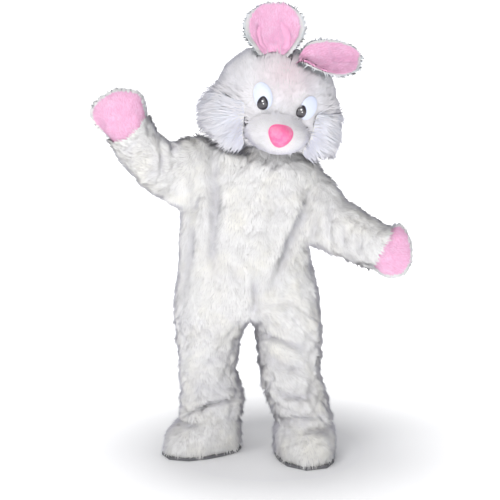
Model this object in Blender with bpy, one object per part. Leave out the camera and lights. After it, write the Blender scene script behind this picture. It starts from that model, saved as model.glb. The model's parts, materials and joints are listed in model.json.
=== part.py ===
"""Rabbit mascot costume: a plush suit, mitts, boot covers and a head, hollow, in the pose of wear.

Front faces -Y, +X is the wearer's left, and the origin is the middle of the shoulders at the root
of the neck. The tables give heights above the soles, and every solid reaches as far as its fur.
"""

import math
from collections import namedtuple

import bmesh
import bpy
import numpy as np


def table(columns, *rows):
    """Rows of numbers with named columns."""
    row_type = namedtuple("Row", columns)
    return [row_type(*row) for row in rows]


# ---- Driving dimensions, in metres ---------------------------------------------------------
SHOULDER_HEIGHT = 1.28      # from the soles to the origin
SEAM_GAP = 0.0003           # between sewn pieces
SEAT_GAP = 0.0009           # between a piece and the curved shell it is sewn on
BODY_WALL = 0.008           # knit backing and laid pile of the suit, mitts and boots
HEAD_WALL = 0.012           # foam and plush of the head
SQUARENESS = 2.2            # exponent of the body's oval sections, 2 is an ellipse
PANEL_CELLS = 8             # columns across one body panel
ARMHOLE_CELLS = 8           # rows down one side of an armhole
ARMHOLE_SPREAD = math.radians(33)   # how far the armhole reaches round the front and the back
RING_CELLS = 2 * ARMHOLE_CELLS      # columns round a sleeve or a mitt
ZIP_SLOT = 0.006            # space between the back panels along the zip
ZIP_SLOT_BELOW = 0.02        # how far the slot runs on below the zip

RIGHT, LEFT = -1, 1         # the wearer's sides, as signs of X
FRONT, BACK = -1, 1         # signs of Y

# The suit from the neck to the crotch, with the middle line and both sides of each row.
# lobe is 0 on the torso and grows to 1 where the seat parts into two legs.
TORSO_ABOVE_ARMHOLE = table(
    "middle_h middle_x front back right_h right_x left_h left_x lobe",
    (1.285, 0.000, 0.110, 0.118, 1.285, -0.125, 1.285, 0.125, 0.0),
    (1.258, 0.000, 0.114, 0.122, 1.262, -0.129, 1.254, 0.129, 0.0),
    (1.232, -0.004, 0.138, 0.146, 1.276, -0.182, 1.226, 0.180, 0.0),
    (1.205, -0.010, 0.158, 0.165, 1.285, -0.235, 1.190, 0.225, 0.0),
)
TORSO_BELOW_ARMHOLE = table(
    "middle_h middle_x front back right_h right_x left_h left_x lobe",
    (0.945, -0.076, 0.192, 0.190, 1.020, -0.362, 0.880, 0.168, 0.0),
    (0.880, -0.088, 0.196, 0.188, 0.925, -0.369, 0.830, 0.176, 0.0),
    (0.810, -0.092, 0.197, 0.188, 0.830, -0.369, 0.785, 0.182, 0.0),
    (0.745, -0.092, 0.194, 0.195, 0.745, -0.377, 0.740, 0.200, 0.0),
    (0.690, -0.091, 0.190, 0.203, 0.685, -0.388, 0.685, 0.210, 0.06),
    (0.645, -0.088, 0.186, 0.204, 0.640, -0.395, 0.640, 0.216, 0.16),
    (0.608, -0.082, 0.180, 0.198, 0.605, -0.393, 0.605, 0.219, 0.40),
    (0.580, -0.075, 0.172, 0.186, 0.578, -0.390, 0.578, 0.221, 0.75),
    (0.562, -0.070, 0.165, 0.174, 0.562, -0.388, 0.562, 0.222, 1.0),
)
LEGS = table(
    "h right_x right_half right_y left_x left_half left_y depth",
    (0.520, -0.243, 0.143, 0.000, 0.086, 0.140, -0.006, 0.156),
    (0.472, -0.250, 0.134, 0.000, 0.090, 0.139, -0.012, 0.146),
    (0.425, -0.251, 0.126, 0.000, 0.090, 0.133, -0.020, 0.139),
    (0.380, -0.253, 0.120, 0.000, 0.088, 0.129, -0.028, 0.134),
    (0.335, -0.253, 0.121, 0.000, 0.092, 0.128, -0.036, 0.132),
    (0.290, -0.247, 0.127, 0.000, 0.103, 0.128, -0.045, 0.133),
    (0.250, -0.239, 0.133, 0.000, 0.118, 0.127, -0.053, 0.134),
    (0.212, -0.237, 0.134, 0.000, 0.131, 0.126, -0.059, 0.133),
    (0.180, -0.241, 0.132, 0.000, 0.143, 0.122, -0.062, 0.130),
    (0.150, -0.244, 0.130, 0.000, 0.150, 0.119, -0.064, 0.127),
)

# The suit's largest folds on its front: soft troughs from (x0, h0) to (x1, h1).
FOLDS = table(
    "x0 h0 x1 h1 depth width",
    (-0.240, 1.200, -0.210, 0.860, 0.016, 0.034),
    (-0.210, 0.860, -0.165, 0.750, 0.012, 0.030),
    (0.175, 1.010, 0.010, 0.750, 0.013, 0.034),
    (0.010, 0.750, -0.060, 0.660, 0.015, 0.032),
    (0.225, 1.090, 0.172, 0.910, 0.012, 0.030),
    (-0.330, 0.520, -0.170, 0.490, 0.009, 0.026),
    (0.000, 0.545, 0.160, 0.480, 0.011, 0.028),
    (0.010, 0.385, 0.130, 0.355, 0.010, 0.026),
    (0.020, 0.335, 0.110, 0.270, 0.010, 0.026),
    (0.110, 0.270, 0.220, 0.345, 0.010, 0.026),
    (-0.340, 0.400, -0.180, 0.385, 0.007, 0.024),
    (-0.330, 0.240, -0.150, 0.285, 0.008, 0.026),
)

# Sleeves and mitts in rings, each from its lower to its upper outline point.
CUFF_TUCK = 0.65            # how near the sleeve's end a mitt's cuff ends inside it
CUFF_GAPS = (SEAM_GAP, 0.0015)  # from the sleeve's wall, inside it and at its end
WRIST_NOTCH = {"right": 0.045, "left": 0.012}   # how far the cuff's edge is cut back over the palm
WRIST_NOTCH_SHARES = (0.3, 0.62, 1.0)           # of it in the sleeve's last rings
WRIST_NOTCH_TURN = math.radians(105)            # round the ring from its upper side, over the front
WRIST_NOTCH_SPREAD = math.radians(70)
SLEEVES = {
    "right": table(
        "low_x low_h high_x high_h middle_y depth",
        (-0.408, 1.048, -0.272, 1.302, -0.012, 0.118),
        (-0.455, 1.075, -0.322, 1.314, -0.035, 0.116),
        (-0.507, 1.112, -0.364, 1.304, -0.062, 0.109),
        (-0.555, 1.165, -0.400, 1.297, -0.092, 0.101),
        (-0.592, 1.218, -0.428, 1.322, -0.118, 0.097),
        (-0.622, 1.268, -0.455, 1.366, -0.138, 0.094),
        (-0.643, 1.312, -0.472, 1.406, -0.150, 0.091),
    ),
    "left": table(
        "low_x low_h high_x high_h middle_y depth",
        (0.204, 0.862, 0.279, 1.137, -0.012, 0.118),
        (0.243, 0.847, 0.322, 1.070, -0.036, 0.113),
        (0.287, 0.831, 0.372, 1.038, -0.066, 0.106),
        (0.335, 0.815, 0.418, 1.006, -0.098, 0.100),
        (0.378, 0.803, 0.456, 0.986, -0.124, 0.096),
        (0.402, 0.797, 0.478, 0.976, -0.136, 0.093),
        (0.420, 0.793, 0.494, 0.970, -0.142, 0.090),
    ),
}
MITTS = {
    "right": table(
        "low_x low_h high_x high_h middle_y depth",
        (-0.672, 1.350, -0.486, 1.456, -0.157, 0.066),
        (-0.696, 1.371, -0.488, 1.480, -0.160, 0.061),
        (-0.713, 1.402, -0.502, 1.497, -0.163, 0.054),
        (-0.704, 1.441, -0.525, 1.508, -0.166, 0.043),
        (-0.672, 1.475, -0.559, 1.512, -0.168, 0.027),
        (-0.618, 1.509, -0.618, 1.509, -0.169, 0.0),
    ),
    "left": table(
        "low_x low_h high_x high_h middle_y depth",
        (0.436, 0.782, 0.512, 0.979, -0.147, 0.066),
        (0.462, 0.761, 0.534, 0.980, -0.152, 0.061),
        (0.494, 0.757, 0.552, 0.962, -0.157, 0.054),
        (0.528, 0.763, 0.567, 0.925, -0.162, 0.043),
        (0.556, 0.782, 0.576, 0.880, -0.166, 0.027),
        (0.578, 0.830, 0.578, 0.830, -0.168, 0.0),
    ),
}

# Boots: ovals about the ankle, with the reach of the toe, the heel and the sides.
SOLE_THICKNESS = 0.012
SOLE_WELT = 0.006           # how far the sole shows round the upper
BOOT_SQUARENESS = 2.3
UNDER_HEM_SHARE = 0.25      # how far the boot runs on below the hem in line with its shaft
BOOT_HEADING = {"right": math.radians(-52), "left": math.radians(6)}    # toe from -Y towards +X
BOOT_ROWS = table(
    "h toe heel side",
    (0.128, 0.158, 0.126, 0.124),
    (0.104, 0.192, 0.130, 0.126),
    (0.076, 0.217, 0.132, 0.128),
    (0.046, 0.230, 0.131, 0.128),
    (0.024, 0.229, 0.127, 0.123),
    (SOLE_THICKNESS + SEAM_GAP, 0.222, 0.122, 0.118),
)

# The head is a squared-off ball, turned and tipped on the shoulders.
HEAD_CENTRE = (0.028, 0.000, 1.458)
HEAD_HALF = (0.255, 0.235, 0.235)
HEAD_SQUARENESS = 2.3
HEAD_TURN = math.radians(7)         # to the wearer's left
HEAD_TILT = math.radians(9)         # wearer's left side down
HEAD_NOD = math.radians(10)         # chin down
HEAD_POLAR_ROWS = (0, 14, 28, 42, 56, 70, 84, 98, 112, 126)   # degrees from the crown
HEAD_CELLS = 2 * PANEL_CELLS        # columns across half the head
JAW_SHARE = 0.5                     # the jaw ring lies between the last polar row and the collar
COLLAR_OVERLAP = 0.5                # share of the collar that the head reaches down over

# Face pieces in the head's own frame: x across, z up, lifted towards the front.
PAD_EDGE = 0.0012           # height of a pad's edge
PAD_FLATNESS = 2.4          # a pad's dome: flat in the middle, steep at its edge
PAD_ROUNDNESS = 0.55
PAD_RINGS = {"muzzle": (7, 24), "nose": (4, 16), "eye_white": (4, 16), "pupil": (3, 14), "highlight": (1, 8)}
DROOP_STEPS = 8
SLOPE_STEP = 0.0005         # for a seat's slope
MUZZLE = {"half": (0.129, 0.084), "height": 0.084, "lean": 0.0, "droop": 0.22}
MUZZLE_PLACE = (0.0, -0.086)
NOSE = {"half": (0.050, 0.046), "height": 0.020, "lean": 0.0}
NOSE_PLACE = (-0.001, -0.079)
NOSE_SHIELD = 0.10          # how far the nose is from an oval towards a shield
EYE_WHITES = {               # lean in degrees, tops outwards
    "right": {"place": (-0.0835, 0.0496), "half": (0.037, 0.054), "height": 0.007, "lean": 22.0},
    "left": {"place": (0.1015, 0.0320), "half": (0.034, 0.050), "height": 0.007, "lean": 16.0},
}
PUPILS = {
    "right": {"place": (-0.0813, 0.0258), "half": (0.0215, 0.0280), "height": 0.005, "lean": 4.0},
    "left": {"place": (0.0745, 0.0180), "half": (0.0205, 0.0260), "height": 0.005, "lean": 10.0},
}
PUPIL_EGG = 0.14            # how much narrower a pupil's top is than its bottom
HIGHLIGHTS = table(
    "name across up half height",
    ("big", -0.003, 0.006, 0.0040, 0.0016),
    ("small", 0.002, -0.003, 0.0026, 0.0012),
)

# The ruff's section: lift off the head against degrees from the crown, on each side.
RUFF_SECTION = table(
    "polar right_lift left_lift",
    (90.0, 0.030, 0.018),
    (101.0, 0.072, 0.044),
    (112.0, 0.103, 0.074),
    (123.0, 0.112, 0.094),
    (135.0, 0.100, 0.104),
)
RUFF_UNDERSIDE = (131.0, 0.045)     # polar angle and lift of the hollow behind the fringe
RUFF_BASE_ROWS = (6, 7, 8, 9)       # the head rows that the ruff is sewn along
RUFF_COLUMNS = (3, 14)              # head columns from the front middle that it spans
RUFF_FRONT_SHARE = 0.50             # lift at the ends, next to the muzzle and at the nape
RUFF_TOP_POLAR = 84.0
RUFF_HANG = table(                  # share of its drop that the ruff keeps over the shoulders
    "column right left",
    (3, 1.00, 0.92),
    (4, 0.88, 0.74),
    (5, 0.80, 0.74),
    (6, 0.70, 0.74),
    (7, 0.64, 0.72),
    (9, 0.62, 0.72),
    (11, 0.76, 0.80),
    (14, 0.92, 0.94),
)
TUFT_DROP = 5.0                     # degrees that every other tuft hangs lower
TUFT_REACH = 0.010

# Ears: each a cupped leaf of rows from its root to its tip.
EAR_COLUMNS = (-1.0, -0.84, -0.62, -0.38, -0.13, 0.13, 0.38, 0.62, 0.84, 1.0)
EAR_WALL = 0.014
EAR_LINING = 0.005
EARS = {
    "right": {
        "root": (0.024, -0.144, 1.660), "along": (-0.02, 0.24, 0.97), "across": (1.0, 0.0, 0.02),
        "length": 0.200, "bend": 0.010, "lining": (1, -1), "sink": 0.0,
        "rows": table(
            "share half cup",
            (0.00, 0.050, 0.040),
            (0.07, 0.086, 0.042),
            (0.22, 0.111, 0.040),
            (0.40, 0.121, 0.033),
            (0.57, 0.119, 0.026),
            (0.73, 0.106, 0.019),
            (0.86, 0.083, 0.012),
            (0.95, 0.052, 0.006),
            (1.00, 0.024, 0.002),
        ),
    },
    "left": {
        "root": (0.1177, -0.1566, 1.6486), "along": (0.965, -0.10, -0.18), "across": (0.09, 0.50, 0.86),
        "length": 0.246, "bend": 0.022, "lining": (0, -1), "sink": 0.0007,
        "rows": table(
            "share half cup",
            (0.00, 0.030, 0.012),
            (0.06, 0.040, 0.024),
            (0.24, 0.062, 0.028),
            (0.40, 0.076, 0.025),
            (0.56, 0.083, 0.020),
            (0.72, 0.080, 0.014),
            (0.86, 0.065, 0.009),
            (0.95, 0.044, 0.005),
            (1.00, 0.020, 0.002),
        ),
    },
}

TAIL_RADIUS = 0.078
TAIL_HEIGHT = 0.640
TAIL_SQUASH = 0.80          # depth against width
TAIL_CELLS = (8, 14)         # rings and sectors
TAIL_SAMPLES = 41            # heights tried to seat it

ZIP_TOP, ZIP_BOTTOM = 1.200, 0.740      # heights of the zip's ends on the middle of the back
ZIP_TAPE_WIDTH = 0.024
ZIP_TAPE_WALL = 0.0015
ZIP_CHAIN_WIDTH = 0.0045
ZIP_CHAIN_RISE = 0.0062
ZIP_TAPE_GAP = 0.0014       # from the panels' inner faces to the tape
SLIDER_SIZE = (0.0090, 0.0050, 0.0120)
SLIDER_STANDS = 0.0004      # above the panels
SLIDER_START = 0.0040       # below the zip's top
SLIDER_LUG = (0.0022, 0.0034, 0.0040)
TAB_SIZE = (0.0085, 0.0016, 0.0320)
TAB_FORK = 0.0062           # length of the slot that straddles the slider's lug
TAB_CLEARANCE = 0.0004
TAB_BEYOND_HINGE = 0.0012
TAB_CORNER = 0.003

COLOURS = {
    "white_plush": (0.86, 0.85, 0.81, 1.0),
    "pink_plush": (0.93, 0.56, 0.72, 1.0),
    "ruff_plush": (0.78, 0.79, 0.84, 1.0),
    "nose_plush": (0.95, 0.24, 0.46, 1.0),
    "eye_white": (0.80, 0.83, 0.93, 1.0),
    "eye_black": (0.030, 0.026, 0.034, 1.0),
    "highlight": (0.95, 0.95, 0.95, 1.0),
    "sole_rubber": (0.10, 0.10, 0.11, 1.0),
    "zip_cloth": (0.80, 0.80, 0.78, 1.0),
    "zip_metal": (0.60, 0.60, 0.62, 1.0),
}


# ---- Objects -------------------------------------------------------------------------------
def clear_scene():
    """Remove whatever the opened file holds."""
    for found in list(bpy.data.objects):
        bpy.data.objects.remove(found, do_unlink=True)


def finish_material(name):
    """One Principled material for each finish."""
    material = bpy.data.materials.get(name)
    if material is None:
        material = bpy.data.materials.new(name)
        material.use_nodes = True
        shader = material.node_tree.nodes["Principled BSDF"]
        shader.inputs["Base Color"].default_value = COLOURS[name]
        shader.inputs["Roughness"].default_value = 0.35 if name in ("zip_metal", "eye_black") else 0.9
        shader.inputs["Metallic"].default_value = 1.0 if name == "zip_metal" else 0.0
    return material


def solid_object(name, points, faces, finish, location=(0.0, 0.0, 0.0), parent=None):
    """A closed solid from points and faces, triangulated, with its faces pointing out."""
    mesh = bpy.data.meshes.new(name)
    shape = bmesh.new()
    vertices = [shape.verts.new(tuple(map(float, point))) for point in points]
    for face in faces:
        shape.faces.new([vertices[index] for index in face])
    bmesh.ops.remove_doubles(shape, verts=shape.verts, dist=1e-6)
    bmesh.ops.dissolve_degenerate(shape, dist=1e-6, edges=shape.edges)
    bmesh.ops.triangulate(shape, faces=shape.faces)
    bmesh.ops.recalc_face_normals(shape, faces=shape.faces)
    shape.to_mesh(mesh)
    shape.free()
    mesh.shade_smooth()
    mesh.set_sharp_from_angle(angle=math.radians(40))
    mesh.materials.append(finish_material(finish))
    made = bpy.data.objects.new(name, mesh)
    bpy.context.scene.collection.objects.link(made)
    made.location = location
    made.parent = parent
    return made


def unit(vectors):
    """Vectors at length 1."""
    vectors = np.asarray(vectors, float)
    lengths = np.linalg.norm(vectors, axis=-1, keepdims=True)
    return vectors / np.maximum(lengths, 1e-12)


def to_frame(points):
    """Heights above the soles, as heights about the origin."""
    moved = np.array(points, float)
    moved[..., 2] -= SHOULDER_HEIGHT
    return moved


# ---- Walls ---------------------------------------------------------------------------------
def surface_normals(grid, middles, closed, seam_start=None, seam_end=None):
    """Outward normals of a grid of points, kept square to the seam planes at its side edges."""
    down = np.gradient(grid, axis=0)
    if closed:
        across = np.roll(grid, -1, axis=1) - np.roll(grid, 1, axis=1)
    else:
        across = np.gradient(grid, axis=1)
    normals = np.cross(across, down)
    poles = [row for row in (0, -1) if np.ptp(grid[row], axis=0).max() < 1e-6]
    for row in poles:
        normals[row] = unit(normals[1 if row == 0 else -2]).mean(axis=0)
    normals = unit(normals)
    if (normals * (grid - middles[:, None, :])).sum() < 0:
        normals = -normals
    for column, planes in ((0, seam_start), (-1, seam_end)):
        if planes is not None:
            edge = normals[:, column]
            normals[:, column] = edge - planes * (edge * planes).sum(axis=1, keepdims=True)
    for row in poles:
        normals[row] = normals[row, 0]
    return unit(normals)


def wall_solid(name, outer, inner, finish, closed=False):
    """The solid between an outer and an inner grid of the same size."""
    rows, columns = outer.shape[:2]
    count = rows * columns
    points = np.concatenate([outer.reshape(-1, 3), inner.reshape(-1, 3)])

    def at(row, column, layer=0):
        return layer * count + row * columns + column % columns

    faces = []
    spans = columns if closed else columns - 1
    for row in range(rows - 1):
        for column in range(spans):
            corners = ((row, column), (row, column + 1), (row + 1, column + 1), (row + 1, column))
            faces.append([at(*corner) for corner in corners])
            faces.append([at(*corner, 1) for corner in reversed(corners)])
    for row in (0, rows - 1):
        for column in range(spans):
            faces.append([at(row, column), at(row, column, 1), at(row, column + 1, 1),
                          at(row, column + 1)])
    if not closed:
        for column in (0, columns - 1):
            for row in range(rows - 1):
                faces.append([at(row, column), at(row + 1, column), at(row + 1, column, 1)])
                faces.append([at(row, column), at(row + 1, column, 1), at(row, column, 1)])
    faces = [face for face in faces if not collapsed([points[index] for index in face])]
    return solid_object(name, points, faces, finish)


def collapsed(corners):
    """True for a face that has shrunk to a line or a point, as at a pole."""
    distinct = {tuple(np.round(corner, 7)) for corner in corners}
    return len(distinct) < 3


# ---- Suit ----------------------------------------------------------------------------------
BodyRow = namedtuple("BodyRow", "middle_h middle_x middle_y front back side_h half lobe open_angle")


def torso_row(source, side, open_angle=0.0):
    """One torso row of one side, from a row of the shared tables."""
    side_x = source.right_x if side == RIGHT else source.left_x
    side_h = source.right_h if side == RIGHT else source.left_h
    return BodyRow(source.middle_h, source.middle_x, 0.0, source.front, source.back, side_h,
                   abs(side_x - source.middle_x), source.lobe, open_angle)


def body_rows(side):
    """All rows of one side, from the neck to the hem of the leg."""
    rows = [torso_row(source, side) for source in TORSO_ABOVE_ARMHOLE]
    top, bottom = TORSO_ABOVE_ARMHOLE[-1], TORSO_BELOW_ARMHOLE[0]
    for step in range(1, ARMHOLE_CELLS):
        turn = math.pi * step / ARMHOLE_CELLS
        share = (1 - math.cos(turn)) / 2
        mixed = type(top)(*(a + (b - a) * share for a, b in zip(top, bottom)))
        rows.append(torso_row(mixed, side, ARMHOLE_SPREAD * math.sin(turn)))
    rows += [torso_row(source, side) for source in TORSO_BELOW_ARMHOLE]
    for leg in LEGS:
        x, half, y = ((leg.right_x, leg.right_half, leg.right_y) if side == RIGHT
                      else (leg.left_x, leg.left_half, leg.left_y))
        rows.append(BodyRow(leg.h, x - side * half, y, leg.depth, leg.depth, leg.h, 2 * half, 1.0, 0.0))
    return rows


def power(value, exponent):
    """A signed power."""
    return math.copysign(abs(value) ** exponent, value)


def body_point(row, side, face, angle):
    """A point of the suit; angle is 0 at the side seam and 90 degrees at the middle."""
    radius = row.half / (1 + row.lobe)
    across = math.cos(angle)
    depth = row.front if face == FRONT else row.back
    x = row.middle_x + side * (row.lobe * radius + radius * power(across, 2 / SQUARENESS))
    y = row.middle_y + face * depth * abs(math.sin(angle)) ** (2 / SQUARENESS)
    rise = (row.side_h - row.middle_h) * max(0.0, across)
    return np.array([x, y, row.middle_h + rise])


def fold_depth(x, height):
    """How deep the folds press into the front at a place."""
    depth = 0.0
    for fold in FOLDS:
        start, end = np.array([fold.x0, fold.h0]), np.array([fold.x1, fold.h1])
        place = np.array([x, height])
        along = np.clip(np.dot(place - start, end - start) / np.dot(end - start, end - start), 0, 1)
        away = np.linalg.norm(place - start - (end - start) * along)
        depth = max(depth, fold.depth * math.exp(-(away / fold.width) ** 2))
    return depth


def body_panel(side, face):
    """Outer and inner grids of one panel, torso and leg in one."""
    rows = body_rows(side)
    outer, middles, start_planes, end_planes = [], [], [], []
    for row in rows:
        end_angle = math.pi - math.acos(row.lobe ** (SQUARENESS / 2))
        angles = np.linspace(row.open_angle, end_angle, PANEL_CELLS + 1)
        outer.append([body_point(row, side, face, angle) for angle in angles])
        radius = row.half / (1 + row.lobe)
        middles.append([row.middle_x + side * row.lobe * radius, row.middle_y, row.middle_h])
        start_planes.append([0.0, 1.0 if row.open_angle == 0.0 else 0.0, 0.0])
        end_planes.append([1.0, 0.0, 0.0] if row.lobe == 0.0 else
                          [0.0, 1.0 if row.lobe == 1.0 else 0.0, 0.0])
    outer = np.array(outer)
    normals = surface_normals(outer, np.array(middles), False,
                              np.array(start_planes), np.array(end_planes))
    for row_index, row in enumerate(rows):
        if 0.0 < row.lobe < 1.0:
            normals[row_index, -1, 0] = side * min(0.0, side * normals[row_index, -1, 0])
    normals = unit(normals)
    if face == FRONT:
        for row_index, row in enumerate(rows):
            for column in range(PANEL_CELLS + 1):
                point = outer[row_index, column]
                fade = min(1.0, column / 2)
                outer[row_index, column] -= normals[row_index, column] * fade * fold_depth(point[0], point[2])
    shift = np.array([side * SEAM_GAP / 2, face * SEAM_GAP / 2, 0.0])
    outer += shift
    if face == BACK:
        open_zip_slot(outer, rows, side)
    return outer, outer - normals * BODY_WALL


def open_zip_slot(outer, rows, side):
    """Draw the middle columns apart along the zip."""
    for row_index, row in enumerate(rows):
        if row.middle_h >= ZIP_BOTTOM - ZIP_SLOT_BELOW:
            outer[row_index, -1, 0] += side * (ZIP_SLOT - SEAM_GAP) / 2


def make_suit():
    """Four body panels and two sleeves; returns their grids for the pieces sewn to them."""
    panels, sleeves = {}, {}
    for side_name, side in (("right", RIGHT), ("left", LEFT)):
        for face_name, face in (("front", FRONT), ("back", BACK)):
            outer, inner = body_panel(side, face)
            panels[face_name, side_name] = (outer, inner)
            wall_solid(f"body_{face_name}_{side_name}", to_frame(outer), to_frame(inner), "white_plush")
    for side_name in ("right", "left"):
        sleeves[side_name] = sleeve_grids(side_name, panels)
        outer, inner = sleeves[side_name]
        wall_solid(f"sleeve_{side_name}", to_frame(outer), to_frame(inner), "white_plush", closed=True)
    return panels, sleeves


def armhole_loop(side_name, panels):
    """The armhole's edge: down the front from the shoulder, then up the back."""
    first = len(TORSO_ABOVE_ARMHOLE) - 1
    front = panels["front", side_name][0][first:first + ARMHOLE_CELLS + 1, 0]
    back = panels["back", side_name][0][first:first + ARMHOLE_CELLS + 1, 0]
    top, bottom = (front[0] + back[0]) / 2, (front[-1] + back[-1]) / 2
    loop = np.array([top, *front[1:-1], bottom, *back[-2:0:-1]])
    return loop + unit(loop.mean(axis=0) - loop) * SEAM_GAP * 2


def ring_points(row):
    """A ring from the upper outline point, round the front, to the lower one and back."""
    high = np.array([row.high_x, row.middle_y, row.high_h])
    low = np.array([row.low_x, row.middle_y, row.low_h])
    points = []
    for step in range(RING_CELLS):
        turn = 2 * math.pi * step / RING_CELLS
        points.append((high + low) / 2 + (high - low) / 2 * math.cos(turn)
                      + np.array([0.0, -row.depth * math.sin(turn), 0.0]))
    return np.array(points)


def sleeve_grids(side_name, panels):
    """The sleeve from the armhole to the wrist."""
    rings = [armhole_loop(side_name, panels)] + [ring_points(row) for row in SLEEVES[side_name]]
    outer = np.array(rings)
    back_up_arm = unit(outer[-2].mean(axis=0) - outer[-1].mean(axis=0))
    turns = 2 * math.pi * np.arange(RING_CELLS) / RING_CELLS
    notch = np.clip(1 - ((turns - WRIST_NOTCH_TURN) / WRIST_NOTCH_SPREAD) ** 2, 0.0, 1.0)
    for ring, share in zip((-3, -2, -1), WRIST_NOTCH_SHARES):
        outer[ring] += back_up_arm * (notch * WRIST_NOTCH[side_name] * share)[:, None]
    normals = surface_normals(outer, outer.mean(axis=1), True)
    return outer, outer - normals * BODY_WALL


# ---- Mitts ---------------------------------------------------------------------------------
def make_mitts(sleeves):
    """A pink palm and a white back for each hand, with the cuff tucked into the sleeve."""
    forward = np.array([0.0, -1.0, 0.0])
    half = RING_CELLS // 2
    for side_name in ("right", "left"):
        sleeve_outer, sleeve_inner = sleeves[side_name]
        inward = unit(sleeve_inner - sleeve_outer)
        cuff = sleeve_inner[-2:] + inward[-2:] * np.array(CUFF_GAPS)[:, None, None]
        cuff[0] = cuff[0] * (1 - CUFF_TUCK) + cuff[1] * CUFF_TUCK
        rings = np.concatenate([cuff, [ring_points(row) for row in MITTS[side_name]]])
        normals = surface_normals(rings, rings.mean(axis=1), True)
        normals[:, [0, half], 1] = 0.0
        normals[-1, :, 1] = 0.0
        normals = unit(normals)
        for piece, finish, sign, columns in (
                ("palm", "pink_plush", 1, range(half + 1)),
                ("back", "white_plush", -1, range(half, RING_CELLS + 1))):
            chosen = [column % RING_CELLS for column in columns]
            outer = rings[:, chosen] + forward * sign * SEAM_GAP / 2
            inner = outer - normals[:, chosen] * BODY_WALL
            wall_solid(f"mitt_{piece}_{side_name}", to_frame(outer), to_frame(inner), finish)


# ---- Boots ---------------------------------------------------------------------------------
def boot_ring(centre, heading, row, directions, grow=0.0):
    """An oval with a long toe, met along the given directions from the ankle."""
    toe = np.array([math.sin(heading), -math.cos(heading)])
    side = np.array([toe[1], -toe[0]])
    points = []
    for direction in directions:
        along, across = direction @ toe, direction @ side
        length = (row.toe if along > 0 else row.heel) + grow
        width = row.side + grow
        sum_of_powers = abs(along / length) ** BOOT_SQUARENESS + abs(across / width) ** BOOT_SQUARENESS
        radius = sum_of_powers ** (-1 / BOOT_SQUARENESS)
        points.append([centre[0] + direction[0] * radius, centre[1] + direction[1] * radius, row.h])
    return np.array(points)


def make_boots(panels):
    """A plush upper whose shaft stands inside the trouser hem, on a flat sole."""
    for side_name, side in (("right", RIGHT), ("left", LEFT)):
        front_outer, front_inner = panels["front", side_name]
        back_outer, back_inner = panels["back", side_name]
        inner = np.concatenate([front_inner[-2:], back_inner[-2:, -2:0:-1]], axis=1)
        outer = np.concatenate([front_outer[-2:], back_outer[-2:, -2:0:-1]], axis=1)
        inward = unit(inner - outer)
        shaft = inner + inward * SEAM_GAP
        shaft = np.array([shaft[0], shaft[1]])
        centre = shaft[-1].mean(axis=0)
        directions = unit(shaft[-1][:, :2] - centre[:2])
        heading = BOOT_HEADING[side_name]
        under_hem = shaft[-1] + (shaft[-1] - shaft[0]) * UNDER_HEM_SHARE
        rings = [*shaft, under_hem] + [boot_ring(centre, heading, row, directions) for row in BOOT_ROWS]
        rings = np.array(rings)
        normals = surface_normals(rings, rings.mean(axis=1), True)
        normals[-1, :, 2] = 0.0
        normals = unit(normals)
        wall_solid(f"boot_upper_{side_name}", to_frame(rings),
                   to_frame(rings - normals * BODY_WALL), "white_plush", closed=True)
        make_sole(side_name, centre, heading, directions)


def make_sole(side_name, centre, heading, directions):
    """A flat sole under one boot."""
    edge = boot_ring(centre, heading, BOOT_ROWS[-1], directions, SOLE_WELT)
    count = len(edge)
    top, bottom = edge.copy(), edge.copy()
    top[:, 2], bottom[:, 2] = SOLE_THICKNESS, 0.0
    faces = [list(range(count)), list(range(2 * count - 1, count - 1, -1))]
    faces += [[step, count + step, count + (step + 1) % count, (step + 1) % count] for step in range(count)]
    solid_object(f"boot_sole_{side_name}", to_frame(np.concatenate([top, bottom])), faces, "sole_rubber")


# ---- Head ----------------------------------------------------------------------------------
def head_turn():
    """The head's rotation as a matrix: nod, then tilt, then turn."""
    nod = np.array([[1, 0, 0], [0, math.cos(HEAD_NOD), -math.sin(HEAD_NOD)],
                    [0, math.sin(HEAD_NOD), math.cos(HEAD_NOD)]])
    tilt = np.array([[math.cos(HEAD_TILT), 0, math.sin(HEAD_TILT)], [0, 1, 0],
                     [-math.sin(HEAD_TILT), 0, math.cos(HEAD_TILT)]])
    turn = np.array([[math.cos(HEAD_TURN), -math.sin(HEAD_TURN), 0],
                     [math.sin(HEAD_TURN), math.cos(HEAD_TURN), 0], [0, 0, 1]])
    return turn @ tilt @ nod


def from_head(points):
    """Points of the head's own frame, as points above the soles."""
    return np.asarray(points, float) @ head_turn().T + np.array(HEAD_CENTRE)


def to_head(points):
    """Points above the soles, in the head's own frame."""
    return (np.asarray(points, float) - np.array(HEAD_CENTRE)) @ head_turn()


def head_point(polar, azimuth, lift=0.0):
    """A point of the head; polar from the crown, azimuth from the front towards the left."""
    direction = np.array([math.sin(polar) * math.sin(azimuth), -math.sin(polar) * math.cos(azimuth),
                          math.cos(polar)])
    radius = (np.abs(direction / HEAD_HALF) ** HEAD_SQUARENESS).sum() ** (-1 / HEAD_SQUARENESS)
    return direction * (radius + lift)


def collar_rings(panels):
    """Two rings round the suit's collar, a head wall away from it, and their outward directions."""
    rings, outward = [], []
    for share in (0.0, COLLAR_OVERLAP):
        halves = []
        for face_name in ("front", "back"):
            right, left = (grid[0] * (1 - share) + grid[1] * share
                           for grid in (panels[face_name, "right"][0], panels[face_name, "left"][0]))
            middle = (right[-1] + left[-1]) / 2
            halves.append([*right[:-1], middle, *left[-2::-1]])
        ring = np.array([*halves[0], *halves[1][-2:0:-1]])
        away = ring * np.array([1.0, (ring[:, 0].max() / ring[:, 1].max()) ** 2, 0.0])
        away[[0, HEAD_CELLS], 1] = 0.0
        away = unit(away)
        rings.append(ring + away * (HEAD_WALL + SEAM_GAP))
        outward.append(away)
    return rings, outward


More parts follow.
